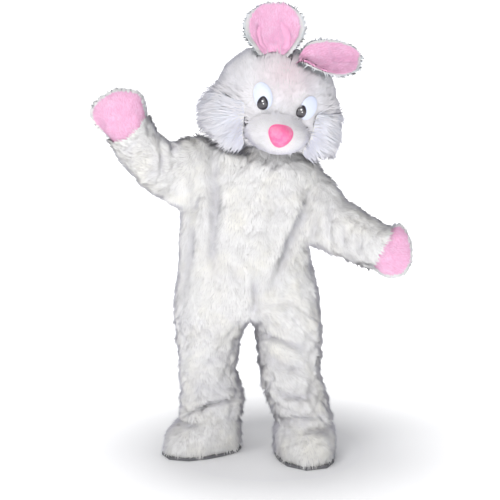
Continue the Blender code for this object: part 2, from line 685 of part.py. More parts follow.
def make_head(panels):
    """The front and back halves of the head; returns their outer grids, right to left."""
    azimuths = -math.pi / 2 + math.pi * np.arange(2 * HEAD_CELLS) / HEAD_CELLS
    rows = [from_head([head_point(math.radians(polar), azimuth) for azimuth in azimuths])
            for polar in HEAD_POLAR_ROWS]
    collar, outward = collar_rings(panels)
    rows.append(rows[-1] * (1 - JAW_SHARE) + collar[0] * JAW_SHARE)
    whole = np.array(rows + collar)
    middles = np.tile(np.array(HEAD_CENTRE), (len(whole), 1))
    below = len(HEAD_POLAR_ROWS)
    middles[below:, 2] = whole[below:, :, 2].mean(axis=1)
    normals = surface_normals(whole, middles, True)
    normals[-2:] = outward
    normals[-3] = unit(normals[-3] + outward[0])
    for column in (0, HEAD_CELLS):
        seam = unit((whole[-3, column] - whole[-2, column])[:2])
        for row in (-3, -2, -1):
            normals[row, column, :2] = seam * np.linalg.norm(normals[row, column, :2])
    plane = head_turn()[:, 1]
    grids = {}
    for face_name, face, columns in (
            ("front", FRONT, list(range(HEAD_CELLS + 1))),
            ("back", BACK, [0, *range(2 * HEAD_CELLS - 1, HEAD_CELLS - 1, -1)])):
        outer = whole[:, columns] + plane * face * SEAM_GAP / 2
        inner = outer - normals[:, columns] * HEAD_WALL
        grids[face_name] = outer
        wall_solid(f"head_{face_name}", to_frame(outer), to_frame(inner), "white_plush")
    return grids


def head_front(x, z):
    """How far the front of the head stands out at a place of the face."""
    share = (abs(x) / HEAD_HALF[0]) ** HEAD_SQUARENESS + (abs(z) / HEAD_HALF[2]) ** HEAD_SQUARENESS
    return HEAD_HALF[1] * max(0.0, 1 - share) ** (1 / HEAD_SQUARENESS)


def pad_place(centre, pad, share, turn, shape=None):
    """A place on a pad's oval; shape bends the outline with the turn."""
    lean = math.radians(pad["lean"])
    reach = share * (shape(turn) if shape else 1.0)
    x, z = pad["half"][0] * math.cos(turn) * reach, pad["half"][1] * math.sin(turn) * reach
    return (centre[0] + x * math.cos(lean) - z * math.sin(lean),
            centre[1] + x * math.sin(lean) + z * math.cos(lean))


def crown_height(pad, share):
    """The height of a pad's dome over its seat, at a share of its radius."""
    return PAD_EDGE + pad["height"] * max(0.0, 1 - share ** PAD_FLATNESS) ** PAD_ROUNDNESS


def rise_with_pad(under, centre, pad):
    """How far the face stands out with a pad added on it; a pad that droops is followed down."""
    lean = math.radians(pad["lean"])
    droop = pad.get("droop", 0.0)

    def crown(x, z):
        dx, dz = x - centre[0], z - centre[1]
        across = (dx * math.cos(lean) + dz * math.sin(lean)) / pad["half"][0]
        up = (-dx * math.sin(lean) + dz * math.cos(lean)) / pad["half"][1]
        return crown_height(pad, min(1.0, math.hypot(across, up)))

    def rise(x, z):
        height = crown(x, z)
        for _ in range(DROOP_STEPS if droop else 0):
            height = crown(x, z + droop * height)
        return under(x, z + droop * height) + SEAT_GAP + height

    return rise


def seat_point(under, x, z):
    """A place of the face moved out square to it by the seat gap."""
    step = SLOPE_STEP
    slope_x = (under(x + step, z) - under(x - step, z)) / (2 * step)
    slope_z = (under(x, z + step) - under(x, z - step)) / (2 * step)
    outward = unit(np.array([-slope_x, -1.0, -slope_z]))
    return np.array([x, -under(x, z), z]) + outward * SEAT_GAP


def padded_patch(name, finish, centre, pad, under, rings, sectors, shape=None):
    """A domed pad that follows the face under it; under says how far that face stands out."""
    points = []
    for layer in (1, 0):
        for ring in range(rings + 1):
            share = ring / rings
            for sector in range(1 if ring == 0 else sectors):
                x, z = pad_place(centre, pad, share, 2 * math.pi * sector / sectors, shape)
                point = seat_point(under, x, z)
                if layer:
                    point[1] -= crown_height(pad, share)
                    point[2] -= crown_height(pad, share) * pad.get("droop", 0.0)
                points.append(point)

    def at(layer, ring, sector):
        offset = (1 - layer) * (1 + rings * sectors)
        return offset + (0 if ring == 0 else 1 + (ring - 1) * sectors + sector % sectors)

    faces = []
    for layer in (1, 0):
        for sector in range(sectors):
            faces.append([at(layer, 0, 0), at(layer, 1, sector), at(layer, 1, sector + 1)])
            for ring in range(1, rings):
                faces.append([at(layer, ring, sector), at(layer, ring + 1, sector),
                              at(layer, ring + 1, sector + 1), at(layer, ring, sector + 1)])
    for sector in range(sectors):
        faces.append([at(1, rings, sector), at(0, rings, sector), at(0, rings, sector + 1),
                      at(1, rings, sector + 1)])
    return solid_object(name, to_frame(from_head(points)), faces, finish)


def make_face():
    """Muzzle, nose, and an eye on each side."""
    padded_patch("muzzle", "white_plush", MUZZLE_PLACE, MUZZLE, head_front, *PAD_RINGS["muzzle"])

    def shield(turn):
        return 1.0 + NOSE_SHIELD * math.cos(3 * (turn + math.pi / 2))

    padded_patch("nose", "nose_plush", NOSE_PLACE, NOSE,
                 rise_with_pad(head_front, MUZZLE_PLACE, MUZZLE), *PAD_RINGS["nose"], shield)
    for side_name, side in (("right", RIGHT), ("left", LEFT)):
        make_eye(side_name, side)


def egg(turn):
    """An oval's outline drawn in at its top and let out at its bottom."""
    return 1.0 - PUPIL_EGG * 2 * math.sin(turn) * abs(math.cos(turn))


def mirrored(pad, side):
    """A pad with its lean turned for one side."""
    return dict(pad, lean=-side * pad["lean"])


def make_eye(side_name, side):
    """An eye white, the pupil on it, and two highlights on the pupil."""
    white, pupil = mirrored(EYE_WHITES[side_name], side), mirrored(PUPILS[side_name], side)
    white_place, pupil_place = white["place"], pupil["place"]
    white_rise = rise_with_pad(head_front, white_place, white)
    pupil_rise = rise_with_pad(white_rise, pupil_place, pupil)
    padded_patch(f"eye_white_{side_name}", "eye_white", white_place, white, head_front,
                 *PAD_RINGS["eye_white"])
    padded_patch(f"pupil_{side_name}", "eye_black", pupil_place, pupil, white_rise,
                 *PAD_RINGS["pupil"], egg)
    for spot in HIGHLIGHTS:
        place = (pupil_place[0] + spot.across, pupil_place[1] + spot.up)
        dot = {"half": (spot.half, spot.half), "height": spot.height, "lean": 0.0}
        padded_patch(f"highlight_{spot.name}_{side_name}", "highlight", place, dot, pupil_rise,
                     *PAD_RINGS["highlight"])


# ---- Ruff ----------------------------------------------------------------------------------
def head_all_round(grids, row, column):
    """The head's outer point in a row, column counted from the front middle to the wearer's left."""
    middle = HEAD_CELLS // 2
    place = middle + column
    if 0 <= place <= HEAD_CELLS:
        return grids["front"][row, place]
    return grids["back"][row, 2 * HEAD_CELLS - place if column > 0 else -place]


def ruff_hang(column, side):
    """How much of its drop the ruff keeps at a head column."""
    columns = [row.column for row in RUFF_HANG]
    return np.interp(column, columns, [row.right if side == RIGHT else row.left for row in RUFF_HANG])


def ruff_strip(grids, side):
    """Sections of one ruff from the muzzle to the nape, two to each head column."""
    first, last = RUFF_COLUMNS
    sections = []
    steps = 2 * (last - first)
    for step in range(steps + 1):
        column = first + step / 2
        low, share = int(math.floor(column)), column % 1
        base = []
        for row in RUFF_BASE_ROWS:
            near = head_all_round(grids, row, side * low)
            point = near
            if share:
                point = (near + head_all_round(grids, row, side * (low + 1))) / 2
            outward = unit(point - np.array(HEAD_CENTRE))
            base.append(point + outward * SEAT_GAP)
        azimuth = side * column * math.pi / HEAD_CELLS
        spread = math.sin(math.pi * step / steps)
        share_out = RUFF_FRONT_SHARE + (1 - RUFF_FRONT_SHARE) * spread ** 0.7
        drop = TUFT_DROP if step % 2 else 0.0
        reach = TUFT_REACH if step % 2 else 0.0
        outer = []
        for row in RUFF_SECTION:
            lift = (row.right_lift if side == RIGHT else row.left_lift) * share_out
            outer.append((row.polar, lift))
        tip_polar, tip_lift = outer[-1]
        outer[-1] = (tip_polar + drop, tip_lift + reach)
        outer.append((RUFF_UNDERSIDE[0], RUFF_UNDERSIDE[1] * share_out))
        hang = ruff_hang(column, side)
        outer = [(RUFF_TOP_POLAR + (polar - RUFF_TOP_POLAR) * hang, lift) for polar, lift in outer]
        shell = [from_head(head_point(math.radians(polar), azimuth, lift)) for polar, lift in outer]
        sections.append(base[:1] + shell + base[:0:-1])
    return np.array(sections)


def make_ruffs(grids):
    """Long-haired cheek ruffs, each a flaring pad sewn to the head."""
    for side_name, side in (("right", RIGHT), ("left", LEFT)):
        sections = ruff_strip(grids, side)
        count, around = sections.shape[:2]
        faces = [list(range(around)), list(range((count - 1) * around, count * around))]
        for step in range(count - 1):
            for corner in range(around):
                after = (corner + 1) % around
                faces.append([step * around + corner, step * around + after,
                              (step + 1) * around + after, (step + 1) * around + corner])
        solid_object(f"ruff_{side_name}", to_frame(sections.reshape(-1, 3)), faces, "ruff_plush")


# ---- Ears ----------------------------------------------------------------------------------
def seated(points, sink):
    """Points moved along the head's own height to stand just clear of its facets."""
    own = to_head(points)
    share = (np.abs(own[..., 0]) / HEAD_HALF[0]) ** HEAD_SQUARENESS
    share += (np.abs(own[..., 1]) / HEAD_HALF[1]) ** HEAD_SQUARENESS
    own[..., 2] = HEAD_HALF[2] * np.maximum(0.0, 1 - share) ** (1 / HEAD_SQUARENESS)
    own[..., 2] += SEAT_GAP - sink
    return from_head(own)


def make_ears():
    """Each ear is a plush back with a pink lining lying in its cup."""
    for side_name, ear in EARS.items():
        along, across = unit(np.array(ear["along"])), unit(np.array(ear["across"]))
        across = unit(across - along * (across @ along))
        facing = np.cross(across, along) * -1
        if facing[1] > 0:
            facing = -facing
        grid = []
        for row in ear["rows"]:
            middle = np.array(ear["root"]) + along * ear["length"] * row.share
            middle = middle + facing * ear["bend"] * row.share ** 2
            grid.append([middle + across * row.half * place + facing * row.cup * place ** 2
                         for place in EAR_COLUMNS])
        front = np.array(grid)
        middles = front.mean(axis=1) - facing * 1.0
        normals = surface_normals(front, middles, False)
        back = front - normals * EAR_WALL
        low, high = ear["lining"]
        lining_low = front[:-1, low:high] + normals[:-1, low:high] * SEAM_GAP
        lining_high = lining_low + normals[:-1, low:high] * EAR_LINING
        for layer in (front, back, lining_low, lining_high):
            layer[0] = seated(layer[0], ear["sink"])
        wall_solid(f"ear_back_{side_name}", to_frame(front), to_frame(back), "white_plush")
        wall_solid(f"ear_inner_{side_name}", to_frame(lining_high), to_frame(lining_low), "pink_plush")


# ---- Tail and zip --------------------------------------------------------------------------
def back_line(height):
    """The middle of the back at a height: its place and the depth of the suit there."""
    rows = body_rows(RIGHT)
    heights = [row.middle_h for row in rows][::-1]
    x = np.interp(height, heights, [row.middle_x for row in rows][::-1])
    ends = []
    for row in rows:
        end_angle = math.pi - math.acos(row.lobe ** (SQUARENESS / 2))
        ends.append(row.middle_y + row.back * abs(math.sin(end_angle)) ** (2 / SQUARENESS))
    y = np.interp(height, heights, ends[::-1])
    return np.array([x, y, height])


def make_tail():
    """A round plush tail sewn low on the seat."""
    rings, sectors = TAIL_CELLS
    centre = back_line(TAIL_HEIGHT)
    reach = 0.0
    for place in np.linspace(-1.0, 1.0, TAIL_SAMPLES):
        height = TAIL_HEIGHT + TAIL_RADIUS * place
        share = math.sqrt(max(0.0, 1 - place ** 2))
        reach = max(reach, back_line(height)[1] - centre[1] + TAIL_RADIUS * TAIL_SQUASH * share)
    centre[1] += reach + SEAM_GAP
    points = []
    for ring in range(rings + 1):
        polar = math.pi * ring / rings
        for sector in range(1 if ring in (0, rings) else sectors):
            turn = 2 * math.pi * sector / sectors
            points.append(centre + TAIL_RADIUS * np.array([
                math.sin(polar) * math.cos(turn), -TAIL_SQUASH * math.cos(polar),
                math.sin(polar) * math.sin(turn)]))
    last = len(points) - 1

    def at(ring, sector):
        if ring in (0, rings):
            return 0 if ring == 0 else last
        return 1 + (ring - 1) * sectors + sector % sectors

    faces = []
    for sector in range(sectors):
        faces.append([at(0, 0), at(1, sector), at(1, sector + 1)])
        faces.append([at(rings, 0), at(rings - 1, sector + 1), at(rings - 1, sector)])
        for ring in range(1, rings - 1):
            faces.append([at(ring, sector), at(ring + 1, sector), at(ring + 1, sector + 1),
                          at(ring, sector + 1)])
    solid_object("tail", to_frame(np.array(points)), faces, "white_plush")


def make_zip(panels):
    """A zip down the back: tape and chain, the slider at its top, and the pull tab on its lug."""
    heights = [row.middle_h for row in body_rows(RIGHT)]
    rows = [index for index, height in enumerate(heights) if ZIP_BOTTOM <= height <= ZIP_TOP]
    outer, inner = (sum(panels["back", name][layer][rows, -1] for name in ("right", "left")) / 2
                    for layer in (0, 1))
    out = unit(outer - inner)
    side = np.array([1.0, 0.0, 0.0])
    half_tape, half_chain = ZIP_TAPE_WIDTH / 2, ZIP_CHAIN_WIDTH / 2
    profile = ((-half_tape, 0.0), (-half_tape, ZIP_TAPE_WALL), (-half_chain, ZIP_TAPE_WALL),
               (-half_chain, ZIP_TAPE_WALL + ZIP_CHAIN_RISE), (half_chain, ZIP_TAPE_WALL + ZIP_CHAIN_RISE),
               (half_chain, ZIP_TAPE_WALL), (half_tape, ZIP_TAPE_WALL), (half_tape, 0.0))
    feet = inner - out * (ZIP_TAPE_GAP + ZIP_TAPE_WALL)
    sections = [[foot + side * x + away * rise for x, rise in profile] for foot, away in zip(feet, out)]
    around = len(profile)
    last = (len(rows) - 1) * around
    faces = [list(range(around)), list(range(last, last + around))]
    for row in range(len(rows) - 1):
        for corner in range(around):
            after = (corner + 1) % around
            faces.append([row * around + corner, row * around + after,
                          (row + 1) * around + after, (row + 1) * around + corner])
    solid_object("zip_tape", to_frame(np.array(sections).reshape(-1, 3)), faces, "zip_cloth")
    down = unit(outer[1] - outer[0])
    make_slider(outer[0], down, unit(np.cross(side, down)), side)


def make_slider(top, down, out, side):
    """The slider with its lug, and the forked tab that swings on it."""
    out = out * math.copysign(1.0, out[1])
    side = np.cross(down, out)
    width, thick, long = SLIDER_SIZE
    lug_width, lug_rise, lug_long = SLIDER_LUG
    low, high = SLIDER_STANDS, SLIDER_STANDS + thick
    start = SLIDER_START
    lug_start = start + (long - lug_long) / 2
    outline = ((start, low), (start, high), (lug_start, high), (lug_start + lug_long, high),
               (start + long, high), (start + long, low))
    around = len(outline)
    points, faces = [], []
    for x in (-width / 2, -lug_width / 2, lug_width / 2, width / 2):
        points += [top + side * x + out * rise + down * along for along, rise in outline]
    for band in range(3):
        for corner in range(around):
            if band == 1 and corner == 2:
                continue
            after = (corner + 1) % around
            faces.append([band * around + corner, band * around + after,
                          (band + 1) * around + after, (band + 1) * around + corner])
    faces += [list(range(around)), list(range(3 * around, 4 * around))]
    first = len(points)
    for x in (-lug_width / 2, lug_width / 2):
        points += [top + side * x + out * (high + lug_rise) + down * along
                   for along in (lug_start, lug_start + lug_long)]
    near_low, near_high, far_low, far_high = around + 2, around + 3, 2 * around + 2, 2 * around + 3
    faces += [[near_low, first, first + 1, near_high], [far_low, far_high, first + 3, first + 2],
              [near_low, far_low, first + 2, first], [near_high, first + 1, first + 3, far_high],
              [first, first + 2, first + 3, first + 1]]
    solid_object("zip_slider", to_frame(np.array(points)), faces, "zip_metal")
    make_tab(top, side, out, down, high, lug_start)


def make_tab(top, side, out, down, body_high, lug_start):
    """The pull tab, forked round the lug; its object stands on the hinge line."""
    width, thick, long = TAB_SIZE
    lug_width, lug_rise, lug_long = SLIDER_LUG
    hinge = top + out * (body_high + lug_rise / 2) + down * (lug_start + lug_long / 2)
    half, slot_half = width / 2, lug_width / 2 + TAB_CLEARANCE
    top_edge, corner = -TAB_BEYOND_HINGE, TAB_CORNER
    outline = [(-half, top_edge), (-half, long - corner), (-half + corner, long), (half - corner, long),
               (half, long - corner), (half, top_edge), (slot_half, top_edge), (slot_half, TAB_FORK),
               (-slot_half, TAB_FORK), (-slot_half, top_edge)]
    points = [side * x + down * z + out * y for y in (-thick / 2, thick / 2) for x, z in outline]
    count = len(outline)
    faces = [list(range(count)), list(range(count, 2 * count))]
    faces += [[step, (step + 1) % count, count + (step + 1) % count, count + step] for step in range(count)]
    pivot = bpy.data.objects.new("zip_tab_pivot", None)
    bpy.context.scene.collection.objects.link(pivot)
    pivot.location = tuple(to_frame(hinge))
    solid_object("zip_tab", points, faces, "zip_metal", parent=pivot)


def main():
    """Build the costume from the suit outwards."""
    clear_scene()
    panels, sleeves = make_suit()
    make_mitts(sleeves)
    make_boots(panels)
    grids = make_head(panels)
    make_face()
    make_ruffs(grids)
    make_ears()
    make_tail()
    make_zip(panels)


main()
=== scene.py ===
"""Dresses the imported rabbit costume: plush cloth, fur, face, zip and a plain studio."""
import json
import math
from collections import namedtuple
from functools import lru_cache

import bmesh
import bpy
import numpy as np
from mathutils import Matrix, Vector, noise
from mathutils.bvhtree import BVHTree


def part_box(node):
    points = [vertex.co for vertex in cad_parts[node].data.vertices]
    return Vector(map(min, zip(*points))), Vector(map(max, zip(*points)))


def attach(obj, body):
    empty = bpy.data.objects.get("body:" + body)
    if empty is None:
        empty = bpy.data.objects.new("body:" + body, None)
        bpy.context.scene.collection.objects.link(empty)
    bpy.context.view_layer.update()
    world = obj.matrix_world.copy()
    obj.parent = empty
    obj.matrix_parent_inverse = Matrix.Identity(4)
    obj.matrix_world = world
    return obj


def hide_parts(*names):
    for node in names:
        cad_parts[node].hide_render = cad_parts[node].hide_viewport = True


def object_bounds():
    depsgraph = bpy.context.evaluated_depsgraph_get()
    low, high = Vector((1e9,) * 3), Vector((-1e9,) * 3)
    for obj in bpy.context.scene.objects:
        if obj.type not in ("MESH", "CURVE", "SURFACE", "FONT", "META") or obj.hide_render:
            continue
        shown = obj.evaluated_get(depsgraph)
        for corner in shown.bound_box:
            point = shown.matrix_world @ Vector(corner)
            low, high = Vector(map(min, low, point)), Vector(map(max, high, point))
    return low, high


bl_info = {
    "name": "Rabbit Costume Dresser",
    "version": (1, 0, 0),
    "blender": (4, 5, 0),
    "location": "3D View > Sidebar > Rabbit Costume",
    "description": "Builds the plush cloth, fur, face and studio of a rabbit costume on its frame",
    "category": "Object",
}

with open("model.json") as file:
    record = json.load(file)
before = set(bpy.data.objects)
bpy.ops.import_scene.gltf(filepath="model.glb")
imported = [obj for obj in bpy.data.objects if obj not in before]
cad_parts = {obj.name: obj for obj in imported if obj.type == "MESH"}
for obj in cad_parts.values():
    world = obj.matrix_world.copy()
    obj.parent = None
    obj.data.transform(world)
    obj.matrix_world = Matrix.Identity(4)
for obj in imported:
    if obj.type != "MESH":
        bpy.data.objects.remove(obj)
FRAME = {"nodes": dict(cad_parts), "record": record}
CAD_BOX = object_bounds()
FLOOR = CAD_BOX[0][2]
NODES = FRAME["nodes"]


def table(columns, *rows):
    """Rows of numbers with named columns."""
    row_type = namedtuple("Row", columns)
    return tuple(row_type(*row) for row in rows)


def middle_of(name):
    """The middle of a node's box."""
    low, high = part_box(name)
    return np.array([(a + b) / 2 for a, b in zip(low, high)])


SIDES = ("right", "left")   # the wearer's
BODY = "costume"            # what every piece made here rides on
SUIT = ("body_front_right", "body_front_left", "body_back_right", "body_back_left",
        "sleeve_right", "sleeve_left")
HEAD = ("head_front", "head_back")
RUFFS = ("ruff_right", "ruff_left")
EAR_BACKS = ("ear_back_right", "ear_back_left")
NOSE = middle_of("nose")
EAR_ROOTS = {"right": (0.024, -0.144, 0.380), "left": (0.1177, -0.1566, 0.3686)}

# Noise
BUMP_STEPS, SWIRL_STEPS = (7.31, 3.17, 5.71), (4.19, 8.53, 2.77)    # how far a seed moves it
SWIRL_SEED = 1              # Blender's vector noise is seeded by the clock unless it is given one

# Cloth
WELD = 0.0008               # joins panels at their seams
FINE_BUMPS, FINER = 0.25, 2.3           # of the cloth's unevenness, and how much finer these are
SHARP = math.radians(50)    # where a wall turns into its rim
QUAD_FACES, QUAD_CORNERS = math.radians(50), math.radians(60)   # how alike triangles are that make a quad
CLOTH_WALL = 0.0022         # plush backing
SUIT_LEVELS, PAD_LEVELS = 2, 2          # subdivisions of cloth and pads
FUR_LEVELS = 3              # and of the finer skin that fur and folded linings need
CUTS = {                    # each cut's flat width, length and the share of that rectangle it fills
    "body_front_right": (0.46, 1.20, 0.85), "body_front_left": (0.46, 1.20, 0.79),
    "body_back_right": (0.46, 1.20, 0.84), "body_back_left": (0.46, 1.20, 0.79),
    "sleeve_right": (0.74, 0.46, 0.74), "sleeve_left": (0.74, 0.36, 0.83),
    "mitt_back_right": (0.20, 0.26, 0.87), "mitt_back_left": (0.20, 0.26, 0.67),
    "mitt_palm_right": (0.20, 0.26, 0.90), "mitt_palm_left": (0.20, 0.26, 0.62),
    "boot_upper_right": (0.80, 0.27, 0.70), "boot_upper_left": (0.80, 0.27, 0.70),
    "head_front": (0.80, 0.60, 0.67), "head_back": (0.80, 0.60, 0.72),
}

# Creases of the suit's front and back: soft troughs along paths in X and Z; a negative depth is a ridge.
CREASES = {
    "front": table(
        "depth width path",
        (0.016, 0.021, ((-0.215, -0.016), (-0.220, -0.200), (-0.226, -0.431), (-0.196, -0.535))),
        (-0.010, 0.026, ((-0.254, -0.049), (-0.253, -0.209), (-0.264, -0.449))),
        (0.012, 0.020, ((-0.327, -0.296), (-0.328, -0.450), (-0.345, -0.600))),
        (0.015, 0.019, ((0.171, -0.170), (0.144, -0.262), (0.102, -0.354), (0.045, -0.475), (0.000, -0.580))),
        (-0.009, 0.030, ((0.100, -0.228), (0.049, -0.318))),
        (0.013, 0.014, ((0.201, -0.250), (0.174, -0.377))),
        (0.016, 0.013, ((-0.051, -0.513), (-0.056, -0.609), (-0.061, -0.671))),
        (0.010, 0.020, ((-0.139, -0.453), (-0.127, -0.534))),
        (0.011, 0.010, ((-0.072, -0.032), (-0.091, -0.066))),
        (0.011, 0.010, ((0.045, -0.048), (0.001, -0.095))),
        (0.006, 0.030, ((0.030, -0.150), (0.000, -0.300))),
        (0.006, 0.016, ((-0.027, -0.629), (0.128, -0.614))),
        (0.017, 0.013, ((-0.034, -0.758), (0.037, -0.774), (0.126, -0.811))),
        (0.011, 0.020, ((-0.025, -0.849), (0.007, -0.862), (0.088, -0.894))),
        (0.008, 0.013, ((0.060, -0.905), (0.125, -0.896))),
        (0.016, 0.014, ((-0.001, -0.968), (0.068, -1.007), (0.162, -1.008), (0.202, -0.974))),
        (0.010, 0.013, ((0.150, -0.985), (0.215, -0.925))),
        (0.013, 0.011, ((0.040, -1.112), (0.095, -1.099), (0.238, -1.085))),
        (0.023, 0.013, ((-0.350, -1.104), (-0.251, -1.053), (-0.105, -1.026))),
        (0.008, 0.030, ((-0.345, -0.619), (-0.339, -0.807))),
        (0.008, 0.014, ((-0.289, -0.873), (-0.220, -0.864), (-0.151, -0.844))),
        (0.007, 0.030, ((-0.324, -0.981), (-0.158, -0.978))),
        (0.006, 0.018, ((-0.300, -0.720), (-0.190, -0.742))),
    ),
    "back": table(
        "depth width path",
        (0.018, 0.018, ((-0.290, -0.050), (-0.262, -0.160), (-0.230, -0.260))),
        (0.018, 0.018, ((0.200, -0.150), (0.172, -0.250), (0.140, -0.360))),
        (0.015, 0.018, ((-0.330, -0.440), (-0.240, -0.470), (-0.140, -0.505))),
        (0.015, 0.018, ((0.160, -0.450), (0.090, -0.500), (0.020, -0.540))),
        (0.012, 0.018, ((-0.290, -0.560), (-0.130, -0.640))),
        (0.012, 0.018, ((0.150, -0.600), (0.000, -0.655))),
        (0.015, 0.016, ((-0.345, -0.800), (-0.170, -0.825))),
        (0.012, 0.014, ((-0.340, -0.880), (-0.180, -0.862))),
        (0.015, 0.016, ((0.010, -0.830), (0.160, -0.850))),
        (0.012, 0.014, ((0.020, -0.915), (0.200, -0.900))),
        (0.014, 0.013, ((-0.330, -1.040), (-0.160, -1.020))),
        (0.014, 0.013, ((0.020, -1.030), (0.210, -1.050))),
    ),
}

# How a crease runs: its path strays, its sides rise a little, and its pile gets painted shade.
STRAY, STRAY_SCALE, STRAIGHT = 0.006, 16.0, 0.012       # creases this narrow don't stray
RIDGE, RIDGE_PLACE = 0.35, 1.9
FACING = 1.6                # how soon a crease ends where the cloth turns away
SHADE_BAND_WIDER = 1.1            # the band of painted shade along a crease, against its width
FULL_SHADE_DEPTH = 0.015           # depth of a crease at which its painted shade is darkest
CREASE_SHADE = 0.45         # how strong that painted shade is, against the painted shade at the sides

# Small crumples: narrow valleys of leaning noise, deepest below the hips, with painted shade in the valleys.
WRINKLE_SCALE, WRINKLE_DEPTH = 15.0, 0.0065
WRINKLE_WIDTH, WRINKLE_MEAN, WRINKLE_SHADE = 0.22, 0.35, 0.8
WRINKLE_STRETCH, WRINKLE_LEANS = (0.55, 0.55, 1.0), ((0.7, 71.0), (-0.7, 75.0))
TORSO_SHARE, LEG_TOP, LEG_FADE = 0.35, -0.60, 0.12

PUFFS = table(              # where the plush bunches up
    "height reach place",
    (0.030, 0.070, (-0.275, -0.010, 0.000)),
    (0.012, 0.050, (0.150, -0.010, -0.060)),
)

# Creases round the sleeves, along paths in the row frame.
ARM_CREASES = table(
    "depth width path",
    (0.016, 0.013, ((-0.425, -0.165, -0.004), (-0.421, -0.152, -0.111))),
    (0.016, 0.013, ((-0.385, -0.090, 0.035), (-0.375, -0.150, -0.020))),
    (-0.006, 0.026, ((-0.317, -0.122, -0.088), (-0.327, -0.093, -0.202))),
    (0.011, 0.014, ((-0.500, -0.160, -0.160), (-0.440, -0.170, -0.080))),
    (0.009, 0.013, ((-0.575, -0.210, -0.050), (-0.500, -0.215, 0.040))),
    (0.014, 0.016, ((-0.450, 0.080, 0.000), (-0.440, 0.060, -0.140))),
    (0.014, 0.016, ((0.300, -0.170, -0.240), (0.290, -0.170, -0.400))),
    (0.010, 0.013, ((0.360, -0.190, -0.290), (0.350, -0.190, -0.430))),
    (0.011, 0.014, ((0.250, -0.120, -0.200), (0.240, -0.120, -0.380))),
    (0.013, 0.016, ((0.320, 0.040, -0.270), (0.310, 0.030, -0.420))),
)

# Folds of the ears' linings: a negative depth is a ridge; the third column is how much painted shade darkens
# the pile along each.
LINING_FOLDS = table(
    "depth width dark path",
    (0.0080, 0.009, 2.2, ((-0.036, -0.133, 0.483), (-0.037, -0.146, 0.443), (-0.029, -0.156, 0.410),
                          (-0.006, -0.153, 0.388))),
    (0.0090, 0.010, 2.6, ((0.047, -0.126, 0.494), (0.066, -0.136, 0.460), (0.075, -0.148, 0.430),
                          (0.069, -0.157, 0.403), (0.050, -0.153, 0.388))),
    (-0.0060, 0.014, 0.0, ((0.000, -0.150, 0.398), (0.028, -0.146, 0.395), (0.045, -0.150, 0.386))),
    (0.0030, 0.034, 0.7, ((0.020, -0.140, 0.450), (0.045, -0.145, 0.420))),
    (0.0060, 0.010, 2.0, ((0.110, -0.180, 0.358), (0.131, -0.203, 0.341), (0.150, -0.212, 0.329),
                          (0.177, -0.219, 0.318))),
    (0.0060, 0.008, 2.2, ((0.165, -0.218, 0.322), (0.195, -0.212, 0.323), (0.229, -0.200, 0.326))),
    (0.0050, 0.009, 1.8, ((0.190, -0.223, 0.318), (0.210, -0.230, 0.303), (0.228, -0.233, 0.288))),
    (0.0030, 0.014, 0.8, ((0.240, -0.180, 0.345), (0.296, -0.189, 0.344), (0.341, -0.199, 0.340))),
)

ARM_LINES = (               # right and left, from the shoulder over the elbow to the fingertips
    ((-0.330, -0.010, -0.105), (-0.470, -0.080, -0.045), (-0.565, -0.150, 0.090), (-0.620, -0.170, 0.230)),
    ((0.240, -0.010, -0.270), (0.345, -0.070, -0.345), (0.450, -0.140, -0.400), (0.580, -0.168, -0.420)),
)
ARM_FLOW_START = 0.65       # of the upper arm, where the pile lies fully along it
ARM_HANG = 0.35             # how much it still hangs down there

# How each fur lies: spacing and sizes in metres, lift off the cloth in degrees.
PILES = {row.kind: row for row in table(
    "kind spacing length width lift clump stray",
    ("suit", 0.0040, 0.023, 0.0060, 33.0, 0.55, 0.20),
    ("boot", 0.0040, 0.024, 0.0060, 26.0, 0.55, 0.16),
    ("mitt", 0.0038, 0.020, 0.0050, 30.0, 0.50, 0.18),
    ("head", 0.0040, 0.021, 0.0058, 24.0, 0.50, 0.14),
    ("ear", 0.0034, 0.020, 0.0044, 42.0, 0.50, 0.22),
    ("tail", 0.0040, 0.024, 0.0045, 55.0, 0.60, 0.25),
    ("muzzle", 0.0034, 0.012, 0.0040, 24.0, 0.40, 0.13),
    ("palm", 0.0034, 0.011, 0.0042, 32.0, 0.50, 0.18),
    ("nose", 0.0024, 0.0042, 0.0020, 40.0, 0.35, 0.20),
    ("ruff", 0.0046, 0.062, 0.0056, 22.0, 0.50, 0.14),
)}
FUR = {"Spacing": 0.004, "Length": 0.02, "Width": 0.005, "Thickness": 0.0022, "Rise": 0.5, "Clump": 0.5,
       "Clump Scale": 55.0, "Stray": 0.2, "Curl": 0.0, "Segments": 1, "Seed": 1, "Material": None}
STRAND_SIDES = 3
STRAND_FLATNESS = 0.45
STRAND_BELLY = 0.35         # how much wider a strand is at its root than a plain cone
FULLNESS = 0.80             # strands on each square of the spacing, before the near ones are dropped
SHORTEST, LONGEST = 0.72, 1.18          # a strand's length, against its pile's
DRIFT = 3.0                 # how far clumps lean together
LOWEST = 0.35               # of the lift, which every strand keeps
STAND_SHARE = 0.62          # how much less of the comb's way is left where pile stands up
FLOOR_CLEAR = 0.0006        # the lowest strands stay this far above the floor
NAP_SHARE = 0.92            # how much a strand is lit like the cloth under it
SIDE_START, SIDE_FULL = 0.60, 0.05      # how squarely pile faces front or back where its painted side shade begins and is full
TUFT_SHARE, TUFT_SCALE = 0.50, 38.0     # how much the pile's length varies, and how finely
NAP_NOISE, NAP_SCALE = 0.30, 62.0       # how much and how finely the pile's own slant varies the light
SWIRLS = ((0.55, 8.0, 0), (0.50, 24.0, 2))      # how far and how finely pile strays from its lay, and seeds

